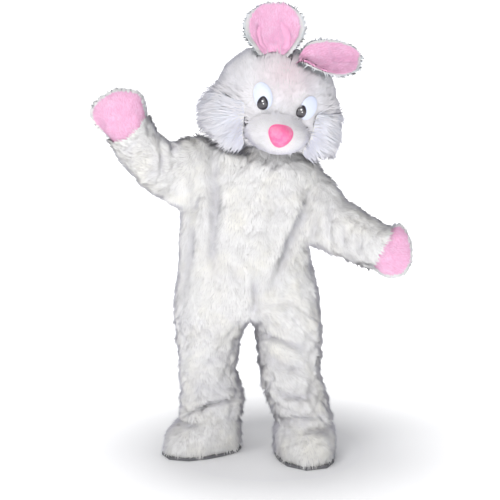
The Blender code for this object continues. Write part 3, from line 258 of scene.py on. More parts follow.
# Where pile is longer or stands up: by how much, and how far that reaches from its neighbour.
NEAR_LIMIT = 0.11           # distances to a neighbour are measured up to this
COVERED, HEAD_COVERED, NOSE_COVERED = 0.006, 0.0012, 0.002      # fur is left off this near to another piece
PALM_RIM = 0.024            # the back's white pile laps this far round a palm's edge
NECK_LONGER, NECK_REACH = 1.3, 0.065
PUFF_LONGER, PUFF_WIDER = 0.8, 1.6
ZIP_REACH, ZIP_SHORTEST = 0.034, 0.12   # the pile is clipped round the slider and its tab
BOOT_LONGER, BOOT_REACH, BOOT_STAND = 0.80, 0.050, 0.25
CHEEK_LONGER, CHEEK_REACH, CHEEK_STAND, CHEEK_STAND_REACH = 1.7, 0.055, 0.7, 0.035
EAR_LONGER, EAR_REACH, EAR_STAND_REACH = 0.9, 0.035, 0.030
CHIN_LONGER, CHIN_REACH = 1.1, 0.070
EYE_CLIPPED, EYE_LONGEST = 0.45, 3.0    # the pile is clipped round the eyes
EYE_EDGE, EYE_FADE = 0.045, 0.022
EYE_FLOW, EYE_FLOW_FADE = 0.085, 0.04   # the pile lies away from an eye within the first
FACE_START, FACE_DEPTH = 0.05, 0.16     # in Y, where the pile turns from hanging to lying away from the nose
MUZZLE_LONGER, MUZZLE_REACH, MUZZLE_STAND = 3.0, 0.034, 0.5
MUZZLE_EDGE, MUZZLE_EDGE_SHARE = 0.025, 0.5
RIM_REACH, RIM_LONGER, RIM_STAND = 0.016, 0.45, 0.6     # the ears' rims, beside their linings
RIM_OUT = 1.3               # how far the rims' pile turns out from the lining
LINING_REACH, LINING_FACING = 0.014, 0.45       # an ear's back is bare this near behind its lining
LINING_INSET, NOSE_INSET = 0.0010, 0.0015       # how far their faces lie under their pile
NOSE_PARTING = 0.02         # the nose's pile parts this far below its middle
TAIL_DEEPER = 2.5           # the tail's pile, against a pad's

# Ruffs
RUFF_CORE_SHARE = 0.45
RUFF_SHORTEST = 0.32        # the locks' length at the pad's low ends, as a share
RUFF_END, RUFF_END_LOW = 0.060, 0.06    # the pad sinks to the head over this much at its back end
RUFF_SHADED = 0.075         # locks are greyer this near to the muzzle: painted shade
RUFF_CAP = 0.86             # faces turned more than this to the nose have no locks
RUFF_SLOPE, RUFF_LOW = 0.085, 0.03      # the pad rises to its full height this far from the muzzle
RUFF_BASE = 0.005           # locks stand on what is further than this from the head
RUFF_OUT, RUFF_INWARD, RUFF_HANG = 0.4, 0.9, (0.0, 0.0, -0.55)      # how locks stand out and hang
RUFF_LOCKS = {"Segments": 3, "Curl": 3.0, "Clump Scale": 26.0}

# Zip
TAPE_CORNERS = 8            # of the tape's section, its raised chain included
TEETH = {"Pitch": 0.0026, "Width": 0.0034, "Height": 0.0011, "Depth": 0.0016, "Shift": 0.0009,
         "Material": None}

# Colours that a finish adds to the panel's
PAINTED_SHADE_SHARE = 0.62           # of the painted shade colour in the most shaded pile
# how much pink tint: under the ears a painted reflection of them, round the nose a pinkish tint
PINK_TINT_SHARE = 0.55
HEAD_PINK_REFLECTION = (0.075, -0.20, 0.300)      # the middle of the painted pink reflection under the ears
BLACK, WHITE = (0.0, 0.0, 0.0, 1.0), (1.0, 1.0, 1.0, 1.0)

# Studio
LIGHTS = table(
    "name place aim size power colour",
    ("key", (-0.75, -4.6, 1.05), (0.0, 0.0, -0.45), 2.4, 71.0, (1.0, 0.99, 0.975)),
    ("fill", (1.5, -4.5, 0.15), (0.0, 0.0, -0.35), 2.2, 16.0, (0.97, 0.98, 1.0)),
    ("under_light", (-0.2, -3.6, -1.0), (-0.05, 0.0, -0.1), 1.8, 9.0, (1.0, 1.0, 1.0)),
    ("floor_light", (-1.9, -1.9, 3.6), (0.2, 0.2, -1.3), 1.4, 50.0, (1.0, 1.0, 1.0)),
)
SKY_COLOUR, SKY_STRENGTH = (0.96, 0.97, 1.0, 1.0), 0.40
STUDIO_HALF, FLOOR_GAP = 8.0, 0.0005
WALL_PLACE = 6.0            # the white wall behind
WALL_HALF, WALL_TOP = 2.9, 2.3
NEAR_GLOW, GLOW_START, GLOW_FULL = 0.03, 0.40, 1.45     # the paper's glow, and the distances it grows over
CAMERA_LENS, CAMERA_SENSOR = 69.12, 36.0
CAMERA_PLACE = (-0.075, -4.0, 0.02)
CAMERA_PITCH = 6.36         # degrees down


# ---- Nodes ---------------------------------------------------------------------------------
class Value:
    """A socket that takes part in arithmetic: each operator adds a Math node."""

    def __init__(self, tree, socket):
        self.tree = tree
        self.socket = socket

    def __add__(self, other):
        return self.tree.maths("ADD", self, other)

    def __sub__(self, other):
        return self.tree.maths("SUBTRACT", self, other)

    def __rsub__(self, other):
        return self.tree.maths("SUBTRACT", other, self)

    def __mul__(self, other):
        return self.tree.maths("MULTIPLY", self, other)

    def __rtruediv__(self, other):
        return self.tree.maths("DIVIDE", other, self)

    def __pow__(self, other):
        return self.tree.maths("POWER", self, other)

    __radd__ = __add__
    __rmul__ = __mul__


class Outputs:
    """A node's outputs, by place or by name."""

    def __init__(self, tree, node):
        self.tree = tree
        self.sockets = node.outputs

    def __getitem__(self, key):
        return Value(self.tree, self.sockets[key])


class Nodes:
    """A node tree under construction."""

    def node(self, kind, settings=None, inputs=None):
        """Adds a node with its settings and its sockets' values or links; returns its outputs."""
        node = self.tree.nodes.new(kind)
        for name, value in (settings or {}).items():
            setattr(node, name, value)
        for key, value in (inputs or {}).items():
            if isinstance(value, Value):
                self.tree.links.new(value.socket, node.inputs[key])
            else:
                node.inputs[key].default_value = value
        return Outputs(self, node)

    def maths(self, operation, first, second):
        """One Math node."""
        return self.node("ShaderNodeMath", {"operation": operation}, {0: first, 1: second})[0]


class Finish(Nodes):
    """A material under construction; set() joins what varies to its Principled BSDF."""

    def __init__(self, name, **fixed):
        self.material = bpy.data.materials.new(name)
        self.material.use_nodes = True
        self.tree = self.material.node_tree
        self.shader = self.tree.nodes["Principled BSDF"]
        for socket, value in fixed.items():
            self.shader.inputs[socket.replace("_", " ").title().replace("Ior", "IOR")].default_value = value

    def place(self):
        """Object coordinates."""
        return self.node("ShaderNodeTexCoord")["Object"]

    def distance(self, point):
        """The distance to a point in Object coordinates."""
        inputs = {0: self.place(), 1: point}
        return self.node("ShaderNodeVectorMath", {"operation": "DISTANCE"}, inputs)["Value"]

    def noise(self, scale, detail=2.0, rough=0.5, stretch=None):
        """Fractal noise from 0 to 1 on Object coordinates; stretch scales them first."""
        vector = self.place()
        if stretch:
            vector = self.node("ShaderNodeMapping", None, {"Vector": vector, "Scale": stretch})[0]
        inputs = {"Vector": vector, "Scale": scale, "Detail": detail, "Roughness": rough}
        return self.node("ShaderNodeTexNoise", None, inputs)[0]

    def bands(self, direction, scale, distortion=0.0):
        """Waves from 0 to 1 along a direction of Object coordinates."""
        return self.node("ShaderNodeTexWave", {"wave_type": "BANDS", "bands_direction": direction},
                         {"Vector": self.place(), "Scale": scale, "Distortion": distortion})["Fac"]

    def attribute(self, name):
        """A number that the mesh carries."""
        return self.node("ShaderNodeAttribute", {"attribute_name": name})["Fac"]

    def limits(self, value, low, high, to_low=0.0, to_high=1.0):
        """value between low and high, mapped onto the other range and held there."""
        inputs = {"Value": value, "From Min": low, "From Max": high, "To Min": to_low, "To Max": to_high}
        return self.node("ShaderNodeMapRange", {"clamp": True}, inputs)[0]

    def blend(self, factor, first, second):
        """A colour between two colours."""
        settings = {"data_type": "RGBA", "clamp_factor": True}
        return self.node("ShaderNodeMix", settings, {0: factor, 6: first, 7: second})[2]

    def set(self, relief=None, relief_depth=0.001, **varying):
        """Joins relief and what else varies, by its socket's name, to the shader; returns the material."""
        if relief is not None:
            bump = self.node("ShaderNodeBump", None, {"Height": relief, "Distance": relief_depth})
            varying["normal"] = bump[0]
        for name, value in varying.items():
            self.tree.links.new(value.socket, self.shader.inputs[name.replace("_", " ").title()])
        return self.material


class Growth(Nodes):
    """A Geometry Nodes tree under construction, with its sizes as named inputs."""

    def __init__(self, name, sizes):
        self.tree = bpy.data.node_groups.new(name, "GeometryNodeTree")
        self.tree.is_modifier = True
        add = self.tree.interface.new_socket
        for way in ("INPUT", "OUTPUT"):
            add("Geometry", in_out=way, socket_type="NodeSocketGeometry")
        for title, default in sizes.items():
            kind = {int: "NodeSocketInt", float: "NodeSocketFloat"}.get(type(default), "NodeSocketMaterial")
            socket = add(title, in_out="INPUT", socket_type=kind)
            if default is not None:
                socket.default_value = default
        self.given = self.node("NodeGroupInput")

    def vector(self, operation, first, second):
        """One Vector Math node."""
        return self.node("ShaderNodeVectorMath", {"operation": operation}, {0: first, 1: second})["Vector"]

    def scaled(self, vector, scale):
        """A vector times a number."""
        inputs = {0: vector, "Scale": scale}
        return self.node("ShaderNodeVectorMath", {"operation": "SCALE"}, inputs)["Vector"]

    def combined(self, x, y, z):
        """A vector of three numbers."""
        return self.node("ShaderNodeCombineXYZ", None, {0: x, 1: y, 2: z})[0]

    def carried(self, name, kind="FLOAT_VECTOR"):
        """What the mesh carries under a name."""
        return self.node("GeometryNodeInputNamedAttribute", {"data_type": kind}, {"Name": name})[0]

    def store(self, geometry, name, value, domain="POINT"):
        """The geometry with a named number stored on it."""
        return self.node("GeometryNodeStoreNamedAttribute", {"data_type": "FLOAT", "domain": domain},
                         {"Geometry": geometry, "Name": name, "Value": value})[0]

    def random(self, low, high, seed):
        """A random number on each strand."""
        inputs = {2: low, 3: high, "Seed": seed}
        return self.node("FunctionNodeRandomValue", {"data_type": "FLOAT"}, inputs)[1]

    def turned(self, axis, way, second_axis, second_way):
        """A rotation that points one axis along a way, then brings another axis towards a second way."""
        turn = self.node("FunctionNodeAlignRotationToVector", {"axis": axis}, {"Vector": way})[0]
        return self.node("FunctionNodeAlignRotationToVector", {"axis": second_axis, "pivot_axis": axis},
                         {"Rotation": turn, "Vector": second_way})[0]

    def close(self, instances):
        """Ends the tree: real meshes instead of instances, in the given material."""
        grown = self.node("GeometryNodeRealizeInstances", None, {0: instances})[0]
        grown = self.node("GeometryNodeSetMaterial", None,
                          {"Geometry": grown, "Material": self.given["Material"]})[0]
        self.node("NodeGroupOutput", None, {0: grown})
        return self.tree


# ---- Finishes ------------------------------------------------------------------------------
def colours():
    """The panel's colours."""
    return bpy.context.scene.rabbit_colours


def sizes():
    """The panel's sizes."""
    return bpy.context.scene.rabbit_sizes


def shade(colour, factor):
    """A colour made darker or lighter."""
    return (*(min(1.0, channel * factor) for channel in colour[:3]), 1.0)


def fur_finish(name, root, tip, patch, fold=None, patch_scale=7.0, patch_share=0.6, tone=0.08, blush=None):
    """Long pile: darker at the root, with painted shade in creases and at the sides, lighter at the tip, with
    patches and single strands.
    """
    finish = Finish(name, roughness=0.85, sheen_weight=0.04, sheen_roughness=0.45, specular_ior_level=0.12)
    strand = finish.blend(finish.limits(finish.attribute("reach"), 0.0, 0.75), root, tip)
    patches = finish.limits(finish.noise(patch_scale, 3.0, 0.6), 0.46, 0.68, 0.0, patch_share)
    coloured = finish.blend(patches, strand, patch)
    # painted shade: a lavender-grey blended into pile in creases and along the sides, as much as the mesh
    # carries
    if fold:
        coloured = finish.blend(finish.attribute("fold") * PAINTED_SHADE_SHARE, coloured, fold)
    # pink tint: under the ears a painted reflection of them, round the nose a pinkish tint
    if blush:
        place, reach = blush
        share = finish.limits(finish.distance(place), 0.0, reach, PINK_TINT_SHARE, 0.0)
        coloured = finish.blend(share, coloured, colours().blush)
    single = finish.limits(finish.attribute("tone"), 0.0, 1.0, 0.0, tone)
    return finish.set(base_color=finish.blend(single, coloured, shade(root, 0.80)))


def paper_finish(name, colour):
    """White paper that glows more away from the costume, so that only its shadow shows."""
    finish = Finish(name, roughness=0.9, emission_strength=1.0)
    distance = finish.distance((0.0, 0.0, FLOOR))
    glow = finish.blend(finish.limits(distance, GLOW_START, GLOW_FULL, NEAR_GLOW, 1.0), BLACK, WHITE)
    return finish.set(base_color=finish.blend(finish.noise(3.0) * 0.1, colour, shade(colour, 0.97)),
                      emission_color=glow)


def backing_finish(name, colour):
    """The knitted backing of the plush, seen between the strands and on the inside."""
    finish = Finish(name, roughness=0.95, sheen_weight=0.30)
    return finish.set(base_color=finish.blend(finish.noise(60.0, 3.0) * 0.6, colour, shade(colour, 0.80)),
                      relief=finish.bands("Z", 160.0, 1.5), relief_depth=0.0004)


def moulded_finish(name, colour, rough, **fixed):
    """Moulded plastic or rubber with a faint grain."""
    finish = Finish(name, **fixed)
    speckle = finish.noise(420.0)
    return finish.set(base_color=finish.blend(finish.noise(35.0) * 0.35, colour, shade(colour, 0.82)),
                      roughness=finish.limits(speckle, 0.3, 0.7, rough * 0.85, rough * 1.15),
                      relief=speckle, relief_depth=0.00008)


def metal_finish(name, colour):
    """Brushed zip metal with rubbed patches."""
    finish = Finish(name, metallic=1.0)
    brushed = finish.noise(900.0, 3.0, 0.6, stretch=(1.0, 1.0, 0.06))
    worn = finish.limits(finish.noise(260.0, 3.0), 0.4, 0.7)
    return finish.set(base_color=finish.blend(worn, colour, shade(colour, 0.70)),
                      roughness=finish.limits(brushed, 0.2, 0.8, 0.24, 0.44),
                      relief=brushed, relief_depth=0.00004)


def woven_finish(name, colour):
    """A twill zip tape."""
    finish = Finish(name, roughness=0.88, sheen_weight=0.25)
    warp = finish.bands("DIAGONAL", 420.0)
    return finish.set(base_color=finish.blend(warp * 0.35, colour, shade(colour, 0.72)),
                      relief=warp, relief_depth=0.00025)


FINISHES = {                # how each finish is made, its colours in the panel, and its own settings
    "suit_fur": (fur_finish, "suit_root suit_tip suit_patch fold", {}),
    # the head's pile is darker than the suit's: painted shade against the stronger light on the head
    "head_fur": (fur_finish, "head_root head_tip head_patch head_fold",
                 # the pink tint under the ears is a painted reflection of them
                 {"patch_scale": 9.0, "blush": (HEAD_PINK_REFLECTION, 0.15)}),
    "muzzle_fur": (fur_finish, "head_root head_tip head_patch fold",
                   {"patch_scale": 12.0, "blush": (tuple(NOSE), 0.075)}),
    # the ears' pile is greyer than the suit's: painted shade of their rims
    "ear_fur": (fur_finish, "ear_root ear_tip head_patch fold", {}),
    "ruff_fur": (fur_finish, "ruff_root head_tip ruff_patch fold", {"patch_scale": 22.0, "tone": 0.35}),
    "pink_fur": (fur_finish, "pink_root pink_tip pink_patch pink_fold",
                 {"patch_scale": 26.0, "patch_share": 0.4}),
    "nose_fur": (fur_finish, "nose nose nose_edge", {"patch_scale": 30.0, "patch_share": 0.5}),
    "cream_backing": (backing_finish, "suit_root", {}),
    "pink_backing": (backing_finish, "pink_root", {}),
    "sole_rubber_worn": (moulded_finish, "sole", {"rough": 0.75}),
    "eye_shell": (moulded_finish, "eye_white", {"rough": 0.35}),
    "pupil_black": (moulded_finish, "pupil", {"rough": 0.12, "coat_weight": 0.6, "coat_roughness": 0.05}),
    "eye_dot": (moulded_finish, "highlight", {"rough": 0.20}),
    "tape_twill": (woven_finish, "zip_tape", {}),
    "zip_brushed": (metal_finish, "zip_metal", {}),
    "floor_paper": (paper_finish, "floor", {}),
    "wall_paper": (paper_finish, "floor", {}),
}


def finish_of(name):
    """A finish by name, made once and shared."""
    make, shades, settings = FINISHES[name]
    chosen = [getattr(colours(), colour) for colour in shades.split()]
    return bpy.data.materials.get(name) or make(name, *chosen, **settings)


# ---- Cloth skins ---------------------------------------------------------------------------
def outer_faces(mesh):
    """The faces of a wall's outer side: the largest stretch between its sharp edges."""
    left, stretches = set(mesh.faces), []
    while left:
        start = left.pop()
        stretch, front = [start], [start]
        while front:
            face = front.pop()
            for edge in face.edges:
                if len(edge.link_faces) != 2 or edge.calc_face_angle() > SHARP:
                    continue
                for other in edge.link_faces:
                    if other in left:
                        left.remove(other)
                        stretch.append(other)
                        front.append(other)
        stretches.append(stretch)
    return max(stretches, key=lambda stretch: sum(face.calc_area() for face in stretch))


def merged_copy(name):
    """A CAD node's mesh as a bmesh with its loose triangles joined up."""
    mesh = bmesh.new()
    mesh.from_mesh(NODES[name].data)
    bmesh.ops.remove_doubles(mesh, verts=mesh.verts, dist=1e-5)
    return mesh


def weld_skins(names, levels):
    """The outer sides of several nodes, welded at their seams and subdivided together."""
    joined = bmesh.new()
    piece = joined.faces.layers.int.new("piece")
    for index, name in enumerate(names):
        mesh = merged_copy(name)
        keep = set(outer_faces(mesh))
        bmesh.ops.delete(mesh, geom=[face for face in mesh.faces if face not in keep], context="FACES")
        mesh.verts.index_update()
        points = [joined.verts.new(vertex.co) for vertex in mesh.verts]
        for face in mesh.faces:
            joined.faces.new([points[vertex.index] for vertex in face.verts])[piece] = index
        mesh.free()
    bmesh.ops.remove_doubles(joined, verts=joined.verts, dist=WELD)
    return subdivided(joined, levels)


def subdivided(mesh, levels):
    """A bmesh turned to quads and smoothed by subdivision, as mesh data."""
    bmesh.ops.join_triangles(mesh, faces=mesh.faces, angle_face_threshold=QUAD_FACES,
                             angle_shape_threshold=QUAD_CORNERS)
    data = bpy.data.meshes.new("form")
    mesh.to_mesh(data)
    mesh.free()
    return made_by("SUBSURF", data, {"levels": levels, "render_levels": levels,
                                     "boundary_smooth": "PRESERVE_CORNERS"})


def linked(name, data):
    """A new object in the scene."""
    piece = bpy.data.objects.new(name, data)
    bpy.context.scene.collection.objects.link(piece)
    return piece


def made_by(kind, data, settings, inputs=None):
    """The plain mesh that a modifier makes of another; inputs are its Geometry Nodes tree's, by name."""
    holder = linked("holder", data)
    modifier = holder.modifiers.new("maker", kind)
    for name, value in settings.items():
        setattr(modifier, name, value)
    for item in (modifier.node_group.interface.items_tree if inputs else ()):
        if item.item_type == "SOCKET" and item.in_out == "INPUT" and item.name in inputs:
            modifier[item.identifier] = inputs[item.name]
    bpy.context.view_layer.update()
    evaluated = holder.evaluated_get(bpy.context.evaluated_depsgraph_get())
    made = bpy.data.meshes.new_from_object(evaluated)
    bpy.data.objects.remove(holder)
    bpy.data.meshes.remove(data)
    return made


def points_of(data):
    """A mesh's points and vertex normals as arrays."""
    points = np.empty(len(data.vertices) * 3)
    normals = np.empty(len(data.vertices) * 3)
    data.vertices.foreach_get("co", points)
    data.vertex_normals.foreach_get("vector", normals)
    return points.reshape(-1, 3), normals.reshape(-1, 3)


def reshaped(data, points):
    """Moves a mesh's points; returns its new vertex normals."""
    data.vertices.foreach_set("co", points.ravel())
    data.update()
    return points_of(data)[1]


def faces_of(data):
    """A mesh's faces as lists of point numbers."""
    return [list(polygon.vertices) for polygon in data.polygons]


def unit(vectors):
    """Vectors scaled to a length of one."""
    return vectors / np.maximum(np.linalg.norm(vectors, axis=1), 1e-6)[:, None]


def moved_place(point, scale, seed, steps):
    """Where a point falls in a noise, which each seed moves along."""
    return Vector(point) * scale + Vector([seed * step for step in steps])


def bumps(points, scale, seed):
    """Smooth noise from about -1 to 1 at each point."""
    return np.array([noise.noise(moved_place(point, scale, seed, BUMP_STEPS)) for point in points])


def trough(distance, width):
    """A soft groove with a low ridge on each side."""
    share = distance / width
    return np.exp(-share ** 2) - RIDGE * np.exp(-(share - RIDGE_PLACE) ** 2)


def near_segment(points, start, end):
    """Distance to a segment, and how far along it the nearest place is."""
    way = end - start
    along = np.clip((points - start) @ way / (way @ way), 0.0, 1.0)
    return np.linalg.norm(points - start - along[:, None] * way, axis=1), along


def near_path(points, path):
    """Distance to a path of straight stretches, and the share of it passed at the nearest place."""
    path = np.array(path)
    lengths = np.linalg.norm(path[1:] - path[:-1], axis=1)
    distance, share = np.full(len(points), 1e9), np.zeros(len(points))
    for index, (start, end) in enumerate(zip(path, path[1:])):
        here, along = near_segment(points, start, end)
        closer = here < distance
        distance[closer] = here[closer]
        share[closer] = (lengths[:index].sum() + along[closer] * lengths[index]) / lengths.sum()
    return distance, share


def taper(share):
    """Fades a crease out towards its ends."""
    return np.sin(np.pi * np.clip(share, 0.02, 0.98)) ** 0.5


def crease_depth(points, normals):
    """How deep the creases are at each point, and how much painted shade its pile gets from creases and
    crumples.
    """
    depth, fold = np.zeros(len(points)), np.zeros(len(points))
    wander = STRAY * bumps(points, STRAY_SCALE, 3.0)
    front, back = (np.clip(normals[:, 1] * sign * FACING, 0.0, 1.0) for sign in (-1, 1))
    flat = points[:, [0, 2]]
    kinds = ((CREASES["front"], flat, front, wander), (CREASES["back"], flat, back, wander),
             (ARM_CREASES, points, 1.0, 0.0))
    for rows, places, facing, stray in kinds:
        for row in rows:
            distance, share = near_path(places, row.path)
            here = row.depth * taper(share) * facing
            distance = np.abs(distance + stray * (row.width > STRAIGHT))
            depth += here * trough(distance, row.width)
            fold += np.maximum(here, 0.0) * np.exp(-(distance / row.width / SHADE_BAND_WIDER) ** 2)
    share = TORSO_SHARE + (1.0 - TORSO_SHARE) * np.clip((LEG_TOP - points[:, 2]) / LEG_FADE, 0.0, 1.0)
    for lean, seed in WRINKLE_LEANS:
        turned = points * WRINKLE_STRETCH + points[:, [2, 1, 0]] * (0.0, 0.0, lean)
        wrinkle = bumps(turned, WRINKLE_SCALE, seed)
        valley = np.clip(WRINKLE_WIDTH - np.abs(wrinkle), 0.0, WRINKLE_WIDTH)
        here = share * WRINKLE_DEPTH * valley / WRINKLE_WIDTH
        depth += here - share * WRINKLE_MEAN * WRINKLE_DEPTH
        fold += WRINKLE_SHADE * here
    for row in PUFFS:
        depth -= row.height * np.exp(-(np.linalg.norm(points - np.array(row.place), axis=1) / row.reach) ** 2)
    return depth, CREASE_SHADE * np.clip(fold / FULL_SHADE_DEPTH, 0.0, 1.0)


# ---- Cloth pieces --------------------------------------------------------------------------
class Skin:
    """Plush over several nodes: its points after creasing, its normals, the painted shade of its creases, and
    faces by node.
    """

    def __init__(self, names, levels, inset, depth_of=None, unevenness=0.006, bump_scale=20.0, seed=1.0):
        data = weld_skins(names, levels)
        points, normals = points_of(data)
        moved = np.full(len(points), inset)
        self.folds = np.zeros(len(points))
        if depth_of:
            depth, self.folds = depth_of(points, normals)
            moved += depth
        wide, fine = bumps(points, bump_scale, seed), bumps(points, bump_scale * FINER, seed + 1)
        moved += unevenness * (wide + FINE_BUMPS * fine)
        self.moved = points - normals * moved[:, None]
        faces = faces_of(data)
        owners = [item.value for item in data.attributes["piece"].data]
        self.faces = {name: [face for face, owner in zip(faces, owners) if owner == index]
                      for index, name in enumerate(names)}
        self.normals = reshaped(data, self.moved)
        bpy.data.meshes.remove(data)

    def patch(self, name):
        """One node's points, normals, painted crease shade and faces, numbered from zero."""
        used = sorted({index for face in self.faces[name] for index in face})
        number = {index: place for place, index in enumerate(used)}
        faces = [[number[index] for index in face] for face in self.faces[name]]
        return self.moved[used], self.normals[used], self.folds[used], faces


def both_skins(names, *args, **more):
    """A coarse skin for the cloth and a finer one for its fur."""
    return Skin(names, SUIT_LEVELS, *args, **more), Skin(names, FUR_LEVELS, *args, **more)


def new_object(name, data, finish):
    """Links a mesh as a smooth-shaded object in a finish, riding on the costume."""
    data.materials.clear()
    data.materials.append(finish_of(finish))
    data.shade_smooth()
    data.name = name
    piece = linked(name, data)
    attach(piece, BODY)
    return piece


def refinish(name, finish):
    """Gives a CAD node that stays a better material."""
    NODES[name].data.materials.clear()
    NODES[name].data.materials.append(finish_of(finish))


def share_slot(name, *pieces):
    """Looks up the record's material slot of a CAD node; the pieces are not used."""
    slot = next(part["material_slot"] for part in FRAME["record"]["subparts"] if part["node"] == name)


def cloth_shell(name, points, normals, faces, finish):
    """A thin closed shell: the outer points, the same points moved in, and a rim."""
    count = len(points)
    edges = dict.fromkeys((start, end) for face in faces for start, end in zip(face, face[1:] + face[:1]))
    rim = [[end, start, start + count, end + count] for start, end in edges if (end, start) not in edges]
    inner = [[index + count for index in reversed(face)] for face in faces]
    both = np.concatenate([points, points - normals * CLOTH_WALL])
    data = bpy.data.meshes.new(name)
    data.from_pydata(both.tolist(), [], faces + inner + rim)
    return new_object(name, data, finish)


# ---- Fur -----------------------------------------------------------------------------------
def strand_shape(growth):
    """A tapering lock along Z that curls to -Y; carries reach, 0 at its root and 1 at its tip."""
    cone = growth.node("GeometryNodeMeshCone", {"fill_type": "NONE"},
                       {"Vertices": STRAND_SIDES, "Side Segments": growth.given["Segments"],
                        "Radius Top": 0.0, "Radius Bottom": 0.5, "Depth": 1.0})["Mesh"]
    place = growth.node("GeometryNodeInputPosition")[0]
    height = growth.node("ShaderNodeSeparateXYZ", None, {0: place})["Z"]
    cone = growth.store(cone, "reach", height)
    belly = 1.0 + STRAND_BELLY - height * STRAND_BELLY
    fuller = growth.vector("MULTIPLY", place, growth.combined(belly, belly, 1.0))
    sag = height ** 2.0 * growth.given["Curl"]
    return growth.node("GeometryNodeSetPosition", None,
                       {"Geometry": cone, "Position": fuller,
                        "Offset": growth.combined(0.0, sag * -1.0, 0.0)})[0]


def fur_tree():
    """Strands over a skin that carries comb, nap and pile on its points."""
    growth = Growth("fur", FUR)
    given = growth.given
    scattered = growth.node("GeometryNodeDistributePointsOnFaces", {"distribute_method": "POISSON"},
                            {"Mesh": given["Geometry"], "Distance Min": given["Spacing"],
                             "Density Max": FULLNESS / given["Spacing"] ** 2.0, "Seed": given["Seed"]})
    nap, comb, pile = growth.carried("nap"), growth.carried("comb"), growth.carried("pile", "FLOAT")
    drift = growth.node("ShaderNodeTexNoise", None,
                        {"Vector": growth.node("GeometryNodeInputPosition")[0], "Scale": given["Clump Scale"],
                         "Detail": 2.0})["Color"]
    drift = growth.vector("SUBTRACT", drift, (0.5, 0.5, 0.5))
    stray = growth.node("FunctionNodeRandomValue", {"data_type": "FLOAT_VECTOR"},
                        {0: (-1.0, -1.0, -1.0), 1: (1.0, 1.0, 1.0), "Seed": given["Seed"]})[0]
    lay = comb
    for way, share in ((nap, given["Rise"]), (drift, given["Clump"] * DRIFT), (stray, given["Stray"])):
        lay = growth.vector("ADD", lay, growth.scaled(way, share))
    out = growth.node("ShaderNodeVectorMath", {"operation": "DOT_PRODUCT"}, {0: lay, 1: nap})["Value"]
    lift = growth.maths("MAXIMUM", given["Rise"] * LOWEST - out, 0.0)
    lay = growth.vector("ADD", lay, growth.scaled(nap, lift))
    length = given["Length"] * growth.random(SHORTEST, LONGEST, given["Seed"] + 3.0) * pile
    strands = growth.node("GeometryNodeInstanceOnPoints", None,
                          {"Points": scattered["Points"], "Instance": strand_shape(growth),
                           "Rotation": growth.turned("Z", lay, "Y", nap),
                           "Scale": growth.combined(given["Width"], given["Thickness"], length)})[0]
    tone = growth.random(0.0, 1.0, given["Seed"] + 7.0)
    return growth.close(growth.store(strands, "tone", tone, domain="INSTANCE"))


def combed(directions, normals):
    """Directions laid flat on the cloth, as unit vectors."""
    return unit(directions - normals * np.sum(directions * normals, axis=1)[:, None])


def swirls(points, scale, seed):
    """Smooth noise vectors, each part from about -1 to 1, the same in each run."""
    noise.seed_set(SWIRL_SEED)
    return np.array([noise.noise_vector(moved_place(point, scale, seed, SWIRL_STEPS))[:] for point in points])


def painted_side_shade(normals):
    """How much painted side shade pile gets: how far it is turned away from both the front and the back."""
    return np.clip((SIDE_START - np.abs(normals[:, 1])) / (SIDE_START - SIDE_FULL), 0.0, 1.0)


def grow_fur(name, points, normals, faces, lay, kind, finish, seed, pile=1.0, folds=0.0, stand=0.0, **more):
    """Fur on a patch of cloth, combed along lay with swirls; pile scales its length, stand lifts it, and it
    carries painted shade at the sides and as much more as given.
    """
    data = bpy.data.meshes.new(name)
    data.from_pydata(points.tolist(), [], faces)
    data.shade_smooth()
    ways = unit(lay)
    for share, scale, step in SWIRLS:
        ways = ways + share * swirls(points, scale, seed + step)
    nap = normals + NAP_NOISE * swirls(points, NAP_SCALE, seed + 4)
    nap /= np.linalg.norm(nap, axis=1)[:, None]
    uneven = 1.0 + TUFT_SHARE * bumps(points, TUFT_SCALE, seed + 5)
    # painted shade carried by the pile: at the sides, and in creases as given
    carried = {"nap": nap, "comb": combed(ways, normals) * np.reshape(1.0 - STAND_SHARE * stand, (-1, 1)),
               "pile": uneven * pile, "fold": np.maximum(painted_side_shade(normals), folds)}
    for key, values in carried.items():
        kind_of, field = ("FLOAT", "value") if values.ndim == 1 else ("FLOAT_VECTOR", "vector")
        layer = data.attributes.new(key, kind_of, "POINT")
        layer.data.foreach_set(field, np.ascontiguousarray(values).ravel())
    row = PILES[kind]
    inputs = {"Spacing": row.spacing, "Length": row.length, "Width": row.width, "Clump": row.clump,
              "Stray": row.stray, "Thickness": row.width * STRAND_FLATNESS, "Seed": seed,
              "Rise": math.tan(math.radians(row.lift)), "Material": finish_of(finish), **more}
    tree = bpy.data.node_groups.get("fur") or fur_tree()
    grown = made_by("NODES", data, {"node_group": tree}, inputs)
    light_as_cloth(grown)
    return new_object(name, grown, finish)


def light_as_cloth(grown):
    """Turns the strands' shading normals towards the cloth's, so that the pile looks soft."""
    nap = np.empty(len(grown.vertices) * 3)
    grown.attributes["nap"].data.foreach_get("vector", nap)
    places, own = points_of(grown)
    mixed = unit(nap.reshape(-1, 3) * NAP_SHARE + own * (1 - NAP_SHARE))
    for key in ("nap", "comb", "pile"):
        layer = grown.attributes.get(key)
        if layer:
            grown.attributes.remove(layer)
    grown.shade_smooth()
    places[:, 2] = np.maximum(places[:, 2], FLOOR + FLOOR_CLEAR)
    grown.vertices.foreach_set("co", places.ravel())
    grown.normals_split_custom_set_from_vertices(mixed.tolist())


# ---- Shared by the operators ---------------------------------------------------------------
@lru_cache(maxsize=None)
def surface_tree(*names):
    """A search tree over the surfaces of CAD nodes."""
    points, faces = [], []
    for name in names:
        first = len(points)
        points += [vertex.co.copy() for vertex in NODES[name].data.vertices]
        faces += [tuple(first + index for index in polygon.vertices) for polygon in NODES[name].data.polygons]
    return BVHTree.FromPolygons(points, faces)


